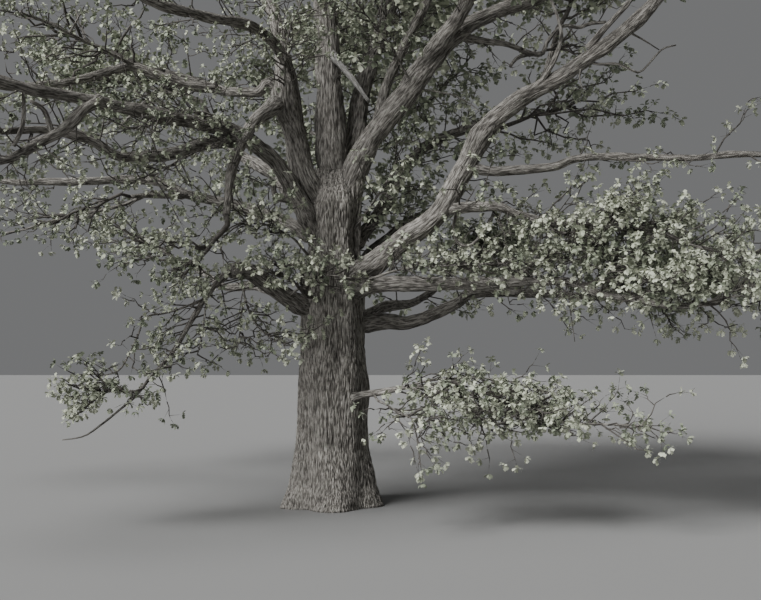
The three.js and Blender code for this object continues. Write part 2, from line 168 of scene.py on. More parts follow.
# Bark: how deep and wide its ridges are and how much longer than wide, how they sway, and how much of the
# height comes from wide furrows, from narrow ones between them and from a slow swell.
TRUNK_FURROW_DEPTH = 0.036
TRUNK_RIDGE_WIDTH = 0.025
RIDGE_STRETCH = 7.0
MEAN_BARK_HEIGHT = 0.5
RIDGE_SWAY, SWAY_PITCH = 0.6, (3.0, 3.0, 1.6)
WIDE_FURROW, NARROW_FURROW, WIDE_CURVE = 0.34, 0.5, 0.8
NARROW_PITCH, SWELL_PITCH = (2.1, 2.1, 2.6), (0.35, 0.35, 0.6)
WIDE_SHARE, NARROW_SHARE, SWELL_SHARE = 0.62, 0.26, 0.12
END_BARK_HEIGHTS = (0.5, 0.3)
# The trunk's furrow grey is partly the bark's own darker colour and partly painted shade in the furrows.
TRUNK_FURROW_TONE_AND_SHADE = (0.030, 0.028, 0.025)
BARK_GREY = (0.170, 0.158, 0.142)
BARK_PALE = (0.420, 0.400, 0.366)
LICHEN_GREY = (0.270, 0.285, 0.235)
BARK_SHEEN = {"Roughness": 0.92, "Specular IOR Level": 0.22}
BARK_BUMP = {"Strength": 0.8, "Distance": 0.03}
BARK_STREAKS = 46
STREAK_PITCH = (1.0, 1.0, 0.13)
FURROW_STOP, MIDDLE_STOP, PALE_STOP = 0.10, 0.48, 0.92
# Noise of each kind: size (the streaks' size is the bark's own), detail and roughness.
STREAK_NOISE, PATCH_NOISE, LICHEN_NOISE = (5, 0.62), (1.9, 6, 0.65), (7.5, 8, 0.75)
# What each is spread from and to: bark height, streaks and patches to a share of the tone, lichen to a cover.
RIDGE_TONE, STREAK_TONE = (0.0, 0.9, 0.40, 1.0), (0.37, 0.63, 0.30, 1.36)
PATCH_TONE, LICHEN_COVER = (0.34, 0.68, 0.66, 1.22), (0.56, 0.68, 0.0, 0.75)


def value_noise(points, seed):
    """Smooth noise from -1 to 1 at each point, with one random value at every whole-number place."""
    cell = np.floor(points).astype(np.int64)
    part = points - cell
    ease = part * part * (3 - 2 * part)
    total = np.zeros(len(points))
    for corner in range(8):
        step = np.array([corner & 1, corner >> 1 & 1, corner >> 2 & 1])
        x, y, z = ((cell + step) & 0xFFFF).T
        mixed = (x * 73856093 ^ y * 19349663 ^ z * 83492791 ^ seed * 2654435) & 0x7FFFFFFF
        mixed = ((mixed ^ (mixed >> 13)) * 1274126177) & 0x7FFFFFFF
        mixed = (mixed ^ (mixed >> 15)) & 0xFFFFFF
        total += np.prod(np.where(step == 1, ease, 1 - ease), axis=1) * (mixed / 0x7FFFFF - 1)
    return total


def bark_relief(skin, ridge_width, seed):
    """Height of the bark, 0 in a furrow and 1 on a ridge; skin is (across, across, along) in metres."""
    sway = value_noise(skin * SWAY_PITCH, seed) * ridge_width * RIDGE_SWAY
    swayed = skin + sway[:, None] * (1, -1, 0)
    ridges = swayed / (ridge_width, ridge_width, ridge_width * RIDGE_STRETCH)
    wide = np.clip(np.abs(value_noise(ridges, seed + 1)) / WIDE_FURROW, 0, 1)
    narrow = np.clip(np.abs(value_noise(ridges * NARROW_PITCH, seed + 2)) / NARROW_FURROW, 0, 1)
    swell = value_noise(ridges * SWELL_PITCH, seed + 3)
    ridge = wide ** WIDE_CURVE * (WIDE_SHARE + NARROW_SHARE * narrow)
    return np.clip(ridge + SWELL_SHARE * swell * wide, 0, 1)


def ring_walls(rings, columns):
    """The four-cornered faces between rings of points, and the first ring's points and those after them."""
    around = np.arange(columns)
    after = (around + 1) % columns
    low = np.arange(rings - 1)[:, None] * columns
    walls = np.stack([low + around, low + after, low + after + columns, low + around + columns], axis=-1)
    return walls.reshape(-1, 4), around, after


def ringed_skin(name, centres, sides, ups, outs, heights, finish, unrolled):
    """A closed skin of rings: centres, two unit directions across each ring, and radii (rings, columns)."""
    rows, columns = outs.shape
    turn = np.arange(columns) * math.tau / columns
    rings = (
        centres[:, None, :]
        + (outs * np.cos(turn))[..., None] * sides[:, None, :]
        + (outs * np.sin(turn))[..., None] * ups[:, None, :]
    )
    points = np.concatenate([rings.reshape(-1, 3), centres[:1], centres[-1:]])
    walls, around, after = ring_walls(rows, columns)
    last = (rows - 1) * columns
    foot = np.stack([np.full(columns, rows * columns), after, around], axis=-1)
    head = np.stack([np.full(columns, rows * columns + 1), last + around, last + after], axis=-1)
    piece = piece_from(name, points, [walls, np.concatenate([foot, head])], [finish])
    relief = np.concatenate([heights.ravel(), END_BARK_HEIGHTS]).astype(np.float32)
    piece.data.attributes.new("bark_height", "FLOAT", "POINT").data.foreach_set("value", relief)
    places = np.concatenate([unrolled, unrolled[:1], unrolled[-1:]]).astype(np.float32).ravel()
    piece.data.attributes.new("bark_place", "FLOAT_VECTOR", "POINT").data.foreach_set("vector", places)
    return piece


def new_node(finish, kind, settings):
    """The outputs of a new shader node with these settings."""
    return feed(finish, finish.node_tree.nodes.new("ShaderNode" + kind), settings)


def graded(finish, source, *stops):
    """The colours of a ramp fed by the source. Each stop is a place and a colour, the outer two first."""
    made = finish.node_tree.nodes.new("ShaderNodeValToRGB")
    elements = made.color_ramp.elements
    for number, (place, tint) in enumerate(stops):
        element = elements[number] if number < 2 else elements.new(place)
        element.position = place
        element.color = (*tint, 1)
    return feed(finish, made, {"Fac": source})["Color"]


def bark_finish(name, furrow, middle, pale, streak_size):
    """Matt bark: dark in its furrows, partly its own colour and partly painted shade, paler on its ridges,
    fine streaks along the limb, lichen patches.
    """
    finish, shader = new_finish(name, BARK_SHEEN)
    nodes = finish.node_tree.nodes

    def noise(source, scale, detail, roughness):
        settings = {"Vector": source, "Scale": scale, "Detail": detail, "Roughness": roughness}
        return new_node(finish, "TexNoise", settings)["Fac"]

    def spread(source, low, high, least, most):
        settings = {"Value": source, "From Min": low, "From Max": high, "To Min": least, "To Max": most}
        return new_node(finish, "MapRange", settings)["Result"]

    def carried(attribute):
        made = nodes.new("ShaderNodeAttribute")
        made.attribute_name = attribute
        return made.outputs

    def product(kind, first, second):
        made = nodes.new(kind)
        made.operation = "MULTIPLY"
        return feed(finish, made, {0: first, 1: second})[0]

    def mixed(blending, share, first, second):
        made = nodes.new("ShaderNodeMix")
        made.data_type = "RGBA"
        made.blend_type = blending
        return feed(finish, made, {"Factor": share, 6: first, 7: second})[2]

    place = new_node(finish, "TexCoord", {})["Object"]
    height = carried("bark_height")["Fac"]
    drawn_out = product("ShaderNodeVectorMath", carried("bark_place")["Vector"], STREAK_PITCH)
    streaks = spread(noise(drawn_out, streak_size, *STREAK_NOISE), *STREAK_TONE)
    relief = product("ShaderNodeMath", spread(height, *RIDGE_TONE), streaks)
    # The ramp darkens the bark towards its furrows: partly its own colour, partly painted shade.
    ramp = graded(finish, relief, (FURROW_STOP, furrow), (PALE_STOP, pale), (MIDDLE_STOP, middle))
    tone = mixed("MULTIPLY", 1.0, ramp, spread(noise(place, *PATCH_NOISE), *PATCH_TONE))
    spots = product("ShaderNodeMath", spread(noise(place, *LICHEN_NOISE), *LICHEN_COVER), height)
    crust = mixed("MIX", spots, tone, (*LICHEN_GREY, 1))
    bump = new_node(finish, "Bump", {"Height": relief, **BARK_BUMP})["Normal"]
    feed(finish, shader, {"Base Color": crust, "Normal": bump})
    return finish


levels = np.linspace(0, TRUNK_TOP, TRUNK_ROWS)[:, None]
turns = np.arange(TRUNK_COLUMNS) * math.tau / TRUNK_COLUMNS
flare = np.clip(1 - levels / ROOT_FLARE_HEIGHT, 0, 1)
folds = FOLD_DEPTH * np.exp(-((levels - FOLD_HEIGHT) / FOLD_SPREAD) ** 2)
outs = np.interp(levels, *zip(*TRUNK_RADII)) * (
    1 + ROOT_RIDGE_DEPTH * flare * np.cos(ROOT_RIDGES * turns + 1)
    + (FLUTE_DEPTH + folds) * np.cos(FLUTES * turns + levels / TRUNK_TOP)
)
rise = np.clip((levels - LEADERS_START) / (TRUNK_TOP - LEADERS_START), 0, 1)
for start, head in LEADERS_IN_HEAD:
    x, y, radius = (low + (high - low) * rise for low, high in zip(start, head))
    toward = x * np.cos(turns) + y * np.sin(turns)
    edge = toward + np.sqrt(np.maximum(radius ** 2 - x ** 2 - y ** 2 + toward ** 2, 0))
    edge = np.maximum(edge, LEADER_LEAST) * (HEAD_PROUD + (HEAD_SUNK - HEAD_PROUD) * rise)
    outs = (outs ** LEADER_BLEND + edge ** LEADER_BLEND) ** (1 / LEADER_BLEND)
skin = np.stack([
    outs * np.cos(turns), outs * np.sin(turns), np.broadcast_to(levels, outs.shape),
], axis=-1).reshape(-1, 3)
bark_height = bark_relief(skin, TRUNK_RIDGE_WIDTH, TRUNK_BARK_SEED).reshape(outs.shape)
outs = outs + value_noise(skin * TRUNK_LUMP_PITCH, TRUNK_LUMP_SEED).reshape(outs.shape) * TRUNK_LUMPS
for turn, height, half_width, half_length, depth in TRUNK_HOLLOWS:
    aside = (turns - math.radians(turn) + math.pi) % math.tau - math.pi
    hollow = np.exp(-(aside * outs / half_width) ** 2 - ((levels - height) / half_length) ** 2)
    outs = outs - depth * hollow
    # Painted shade: the hollows' bark height is lowered, which darkens their colour.
    bark_height = bark_height * (1 - HOLLOW_SINK_AND_SHADE * hollow)
outs = outs + (bark_height - MEAN_BARK_HEIGHT) * TRUNK_FURROW_DEPTH
trunk_line = levels * (TRUNK_LEAN[0] / TRUNK_TOP, TRUNK_LEAN[1] / TRUNK_TOP, 1)
old_bark = bark_finish("old_oak_bark", TRUNK_FURROW_TONE_AND_SHADE, BARK_GREY, BARK_PALE, BARK_STREAKS)
trunk = ringed_skin(
    "bark_trunk", trunk_line, np.tile((1.0, 0, 0), (TRUNK_ROWS, 1)), np.tile((0, 1.0, 0), (TRUNK_ROWS, 1)),
    outs, bark_height, old_bark, skin,
)
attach(trunk, "root")
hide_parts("trunk")

# The boughs: crooked living limbs that leave the trunk or a larger limb with a swollen collar and taper to
# where they enter their leaves. Their bark is the trunk's, younger: darker and with shallower furrows.
COLLAR_SWELL = 0.10
COLLAR_LENGTH = 1.6
ROOT_COLLAR = 0.20
ROOT_COLLAR_LENGTH = 0.55
LEADERS = ("mid_leader", "left_leader", "right_leader", "mid_right")
LEADER_COLLAR = 0.05
FOOT_SHARE = 0.6
SKIN_CELL = 0.0185
FEWEST_COLUMNS = 10
RING_SPACING = 0.10
FEWEST_RINGS = 14
BOUGH_RIDGE_WIDTH = 0.030
BOUGH_FURROW_SHARE = 0.16
BOUGH_FURROW_MOST = 0.030
BOUGH_LUMPS = 0.14
LUMP_PITCH, FINE_LUMP_PITCH, FINE_LUMPS = 2.6, 6.1, 0.5
BOUGH_CROOK, CROOK_PITCH, CROOK_APART, CROOK_FREE_ENDS = 0.05, 1.3, 17, 0.6
CROOK_SEED, BOUGH_BARK_SEED, SEED_STEP = 50, 20, 7
BOUGH_STEP, FEWEST_STEPS = 0.68, 4
# The boughs' furrow grey is partly their own darker bark and partly painted shade in the furrows.
BOUGH_FURROW_TONE_AND_SHADE = (0.024, 0.0225, 0.020)
BOUGH_GREY = (0.140, 0.130, 0.117)
BOUGH_PALE = (0.350, 0.333, 0.305)
# Each bough: its diameters at the foot and the tip, and the few places that its middle line passes through.
BOUGHS = {
    "mid_leader": (0.7, 0.2, [(0.08, 0.08, 5.8), (0.08, 0.14, 6.6), (-0.07, 0.18, 7.5), (-0.11, 0.2, 9.6),
        (-0.26, 0.4, 12.1), (-0.33, 0.5, 15.4)]),
    "right_leader": (0.54, 0.2, [(0.12, 0.02, 5.9), (0.71, -0.1, 7.38), (1.68, -0.4, 8.67),
        (2.73, -0.6, 9.81), (4.42, -0.5, 10.56), (5.7, -0.2, 11.4)]),
    "left_leader": (0.55, 0.18, [(-0.1, 0, 5.9), (-0.48, -0.1, 6.66), (-0.67, -0.2, 7.2), (-0.85, -0.35, 7.8),
        (-1.02, -0.45, 8.42), (-1.06, 0.1, 9.4), (-1.36, 0.5, 10.6), (-2, 0.8, 11.7)]),
    "mid_right": (0.5, 0.19, [(0.13, 0.25, 6), (0.5, 0.6, 7.97), (0.69, 1, 9.3), (1.25, 1.4, 11.04),
        (1.76, 2.2, 13.2)]),
    "right_diag": (0.48, 0.2, [(0.15, -0.06, 4.4), (0.96, -0.5, 5.02), (2.1, -1, 5.85), (2.63, -1.1, 6.71),
        (3.29, -1.3, 7.75), (4.57, -1.9, 8.45), (5.61, -2.5, 9.14), (6.13, -2.9, 9.67), (6.8, -3.5, 10.6)]),
    "right_low": (0.37, 0.15, [(0.08, -0.08, 4.38), (1, -0.7, 4.47), (2.94, -1.4, 4.49), (3.68, -1.7, 4.53),
        (4.5, -2.15, 4.44)]),
    "left_long": (0.36, 0.14, [(-0.2, -0.06, 5.3), (-0.79, -0.4, 6.48), (-1.6, -1, 7.36), (-2.61, -2, 7.53),
        (-4.61, -4.4, 7.43), (-5.9, -6, 7.5)]),
    "left_low": (0.37, 0.28, [(-0.12, -0.08, 3.9), (-0.93, -0.5, 4.28), (-1.6, -0.9, 4.72),
        (-1.95, -1.15, 4.74)]),
    "left_low_fall": (0.14, 0.055, [(-1.95, -1.15, 4.74), (-2.38, -1.5, 4.18), (-2.87, -2.1, 3.17),
        (-3.24, -2.4, 2.62)]),
    "left_up": (0.26, 0.13, [(-0.64, -0.16, 7.4), (-0.78, 0.1, 8.32), (-1.02, -0.2, 9.26),
        (-1.57, -1.4, 9.55), (-2.96, -3.8, 9.18), (-4.1, -5.5, 9.8)]),
    "left_droop": (0.32, 0.13, [(-1.01, -0.44, 8.38), (-1.49, -1.1, 7.66), (-1.84, -1.5, 6.77),
        (-1.92, -1.9, 5.73)]),
    "left_second": (0.27, 0.13, [(-1.62, -1.12, 7.42), (-2.64, -1.8, 7.02), (-3.67, -2.6, 6.7),
        (-4.2, -3, 6.94), (-4.85, -3.2, 7.03), (-5.2, -3.6, 6.95)]),
    "left_arch": (0.22, 0.15, [(-1.02, -0.44, 8.4), (-1.31, -0.5, 8.71), (-1.59, -0.4, 8.53),
        (-2.49, 0, 8.74), (-3.51, -0.2, 8.99)]),
    "left_mid": (0.29, 0.11, [(-0.15, 0.06, 5.35), (-1.38, 0.6, 6.11), (-3.19, 1, 6.59), (-4.08, 1, 6.92),
        (-6, 0.8, 6.87), (-8.3, 0.6, 6.95)]),
    "left_shelf": (0.15, 0.08, [(-3.19, 1, 6.59), (-3.85, 0.5, 6.53), (-4.28, 0.1, 6.42)]),
    "right_under": (0.34, 0.12, [(0.12, 0, 3.65), (1.1, 0.2, 3.76), (1.64, 0.4, 3.79), (2.6, 0.4, 4.19),
        (3.23, 0.3, 4.44), (5.9, 0.45, 4.3)]),
    "right_arch": (0.23, 0.14, [(2.2, -1.02, 5.95), (3.14, -1.5, 5.99), (3.61, -1.6, 5.8),
        (4.1, -1.7, 5.67)]),
    "right_thin": (0.19, 0.1, [(2.68, -1.1, 6.86), (3.22, -1.2, 6.71), (4.33, -1.4, 6.73), (5.26, -1.6, 6.89),
        (8.9, -2.35, 6.78)]),
    "right_upper": (0.36, 0.18, [(1.38, -0.3, 8.28), (1.83, -0.5, 9.06), (2.64, -1.2, 9.92),
        (3.18, -3, 10.88), (3.7, -4, 12)]),
    "inner_stem": (0.26, 0.12, [(0.94, -0.15, 7.7), (1.17, 0.5, 8.93), (1.74, 0.6, 10.23), (2.03, 0.6, 10.86),
        (2.6, 0.8, 13.2)]),
    "cross_right": (0.19, 0.09, [(2.56, -0.57, 9.64), (3.53, -0.1, 9.66), (4.03, 0.1, 9.58)]),
    "back_right": (0.31, 0.14, [(0.1, 0.08, 4.9), (1, 0.8, 6.2), (1.9, 1.4, 7.66), (3.04, 1.5, 8.23),
        (3.7, 1.3, 8.53), (4.59, 1.2, 9.11), (4.95, 1.4, 10.1)]),
    "snag": (0.18, 0.07, [(-0.11, 0.2, 9.64), (0.37, -0.3, 8.89), (0.77, -0.6, 8.28)]),
    "low_right_droop": (0.17, 0.08, [(0.15, -0.2, 2.15), (1.1, -1.2, 2.36), (1.95, -1.8, 2.5)]),
    "front_high": (0.28, 0.15, [(-0.2, 0.3, 10.6), (-0.42, -1.7, 11.7), (-0.45, -3.8, 13)]),
    "back_left": (0.4, 0.17, [(-0.12, 0.15, 5.5), (-1.5, 1.9, 7.3), (-2.4, 3, 7.9), (-3.4, 4.3, 9.2)]),
    "back_mid": (0.4, 0.17, [(0, 0.15, 5.7), (0.35, 1.9, 7.5), (0.25, 3.2, 8.4), (0.5, 4.8, 10)]),
    "back_far_right": (0.36, 0.16, [(0.1, 0.15, 4.5), (1.4, 1.9, 5.9), (2.7, 3.5, 6.9), (3.6, 4.6, 8.3)]),
    "back_low_left": (0.32, 0.13, [(-0.1, 0.12, 3.7), (-1.5, 1.5, 4.6), (-2.6, 2.9, 4.7), (-3.5, 3.9, 5.2)]),
    "back_low_right": (0.3, 0.13, [(0.08, 0.12, 3.3), (0.9, 1.6, 4.1), (1.9, 3, 4.4), (2.7, 4.3, 5.1)]),
}
# Healed wounds and old forks: the bough, how far along it, and how much they swell it.
KNUCKLES = (
    ("right_diag", 0.44, 0.34), ("left_leader", 0.43, 0.40), ("left_low", 0.88, 0.12),
    ("right_leader", 0.34, 0.15), ("left_long", 0.52, 0.30), ("left_second", 0.78, 0.30),
)
KNUCKLE_TIGHTNESS = 2.5
PLACES_BETWEEN = 24
STEEP_LIMB = 0.8


def smooth_line(places, count):
    """A smooth line through the places, as `count` points evenly spaced along it, and its length."""
    places = np.array(places, float)
    held = np.concatenate([[2 * places[0] - places[1]], places, [2 * places[-1] - places[-2]]])
    t = np.linspace(0, 1, PLACES_BETWEEN, endpoint=False)[:, None]
    fine = []
    for a, b, c, d in zip(held, held[1:], held[2:], held[3:]):
        bend = (2 * a - 5 * b + 4 * c - d) * t ** 2 + (3 * b - a - 3 * c + d) * t ** 3
        fine.append(b + 0.5 * ((c - a) * t + bend))
    fine = np.concatenate([*fine, places[-1:]])
    gone = np.concatenate([[0], np.cumsum(np.linalg.norm(np.diff(fine, axis=0), axis=1))])
    even = np.linspace(0, gone[-1], count)
    return np.stack([np.interp(even, gone, fine[:, axis]) for axis in range(3)], axis=-1), gone[-1]


def unit(vectors):
    return vectors / np.maximum(np.linalg.norm(vectors, axis=-1, keepdims=True), 1e-9)


def carried_frames(line):
    """Two directions square to the line at each of its points, carried along without twisting."""
    runs = unit(np.gradient(line, axis=0))
    side = np.cross(runs[0], (0, 0, 1) if abs(runs[0, 2]) < STEEP_LIMB else (1, 0, 0))
    sides = []
    for run in runs:
        side = unit(side - run * (side @ run))
        sides.append(side)
    return np.array(sides), np.cross(runs, sides)


def taper(foot, tip, along, length):
    """Radii of a limb at shares of its length, with the long swelling towards its foot."""
    swell = COLLAR_SWELL * np.exp(-along * length / (COLLAR_LENGTH * foot))
    return (foot + (tip - foot) * along) / 2 * (1 + swell)


def room_to_limbs(points):
    """How far each point lies outside the bark of the nearest limb so far."""
    nearest = np.full(len(points), np.inf)
    for a, b, radius in limb_runs:
        run = b - a
        share = np.clip((points - a) @ run / (run @ run), 0, 1)
        nearest = np.minimum(nearest, np.linalg.norm(points - a - share[:, None] * run, axis=1) - radius)
    return nearest


def limb_skin(name, number, line, radii, finish, furrow_share):
    """A closed limb round a line of evenly spaced points, crooked, lumpy and ridged."""
    rows = len(line)
    length = np.linalg.norm(np.diff(line, axis=0), axis=1).sum()
    along = np.linspace(0, 1, rows)
    columns = max(FEWEST_COLUMNS, round(float(radii.mean()) * math.tau / SKIN_CELL))
    ease = np.minimum(1, np.minimum(along, 1 - along) * length / CROOK_FREE_ENDS)[:, None]
    crook = [value_noise(line * CROOK_PITCH + CROOK_APART * axis, CROOK_SEED + number) for axis in range(3)]
    line = line + np.stack(crook, axis=-1) * BOUGH_CROOK * ease
    turn = np.arange(columns) * math.tau / columns
    skin = np.stack([
        radii[:, None] * np.cos(turn), radii[:, None] * np.sin(turn),
        np.broadcast_to((along * length)[:, None], (rows, columns)),
    ], axis=-1).reshape(-1, 3)
    seed = BOUGH_BARK_SEED + number * SEED_STEP
    height = bark_relief(skin, BOUGH_RIDGE_WIDTH, seed).reshape(rows, columns)
    lumps = value_noise(skin * LUMP_PITCH, seed + 1)
    lumps = lumps + FINE_LUMPS * value_noise(skin * FINE_LUMP_PITCH, seed + 2)
    depth = np.minimum(radii * furrow_share, BOUGH_FURROW_MOST)[:, None]
    outs = radii[:, None] * (1 + BOUGH_LUMPS * lumps.reshape(rows, columns))
    sides, ups = carried_frames(line)
    outs = outs + (height - MEAN_BARK_HEIGHT) * depth
    return ringed_skin(name, line, sides, ups, outs, height, finish, skin)


def bough_skin(number, name, finish, furrow_share):
    """A bough's limb, with the collar where it leaves its parent, its foot drawn in, and its knuckles."""
    foot, tip, places = BOUGHS[name]
    length = smooth_line(places, 2)[1]
    rows = max(FEWEST_RINGS, round(length / RING_SPACING))
    line, _ = smooth_line(places, rows)
    along = np.linspace(0, 1, rows)
    leaves_parent = along[np.argmax(room_to_limbs(line) > 0)]
    past = (along - leaves_parent) * length
    root_collar = LEADER_COLLAR if name in LEADERS else ROOT_COLLAR
    inside = np.clip(along / max(leaves_parent, 1e-6), 0, 1)
    radii = taper(foot, tip, along, length) * (FOOT_SHARE + (1 - FOOT_SHARE) * inside)
    radii = radii * (1 + root_collar * np.exp(-np.abs(past) / (ROOT_COLLAR_LENGTH * foot)))
    for bough, share, size in KNUCKLES:
        if bough == name:
            radii = radii * (1 + size * np.exp(-((along - share) * length / foot) ** 2 * KNUCKLE_TIGHTNESS))
    return limb_skin("bark_" + name, number, line, radii, finish, furrow_share)


younger_bark = bark_finish("younger_oak_bark", BOUGH_FURROW_TONE_AND_SHADE, BOUGH_GREY, BOUGH_PALE, BARK_STREAKS)
limb_runs = []
for (low, low_radius), (high, high_radius) in zip(TRUNK_RADII, TRUNK_RADII[1:]):
    limb_runs.append((np.array((0, 0, low)), np.array((0, 0, high)), max(low_radius, high_radius)))
for number, (name, (foot, tip, places)) in enumerate(BOUGHS.items()):
    if name != "snag":
        bough = bough_skin(number, name, younger_bark, BOUGH_FURROW_SHARE)
        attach(bough, "root")
        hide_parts("bough_" + name)
    length = smooth_line(places, 2)[1]
    steps = max(FEWEST_STEPS, round(length / BOUGH_STEP))
    line, _ = smooth_line(places, steps + 1)
    limb_runs.extend(zip(line, line[1:], taper(foot, tip, np.arange(steps) / steps, length)))

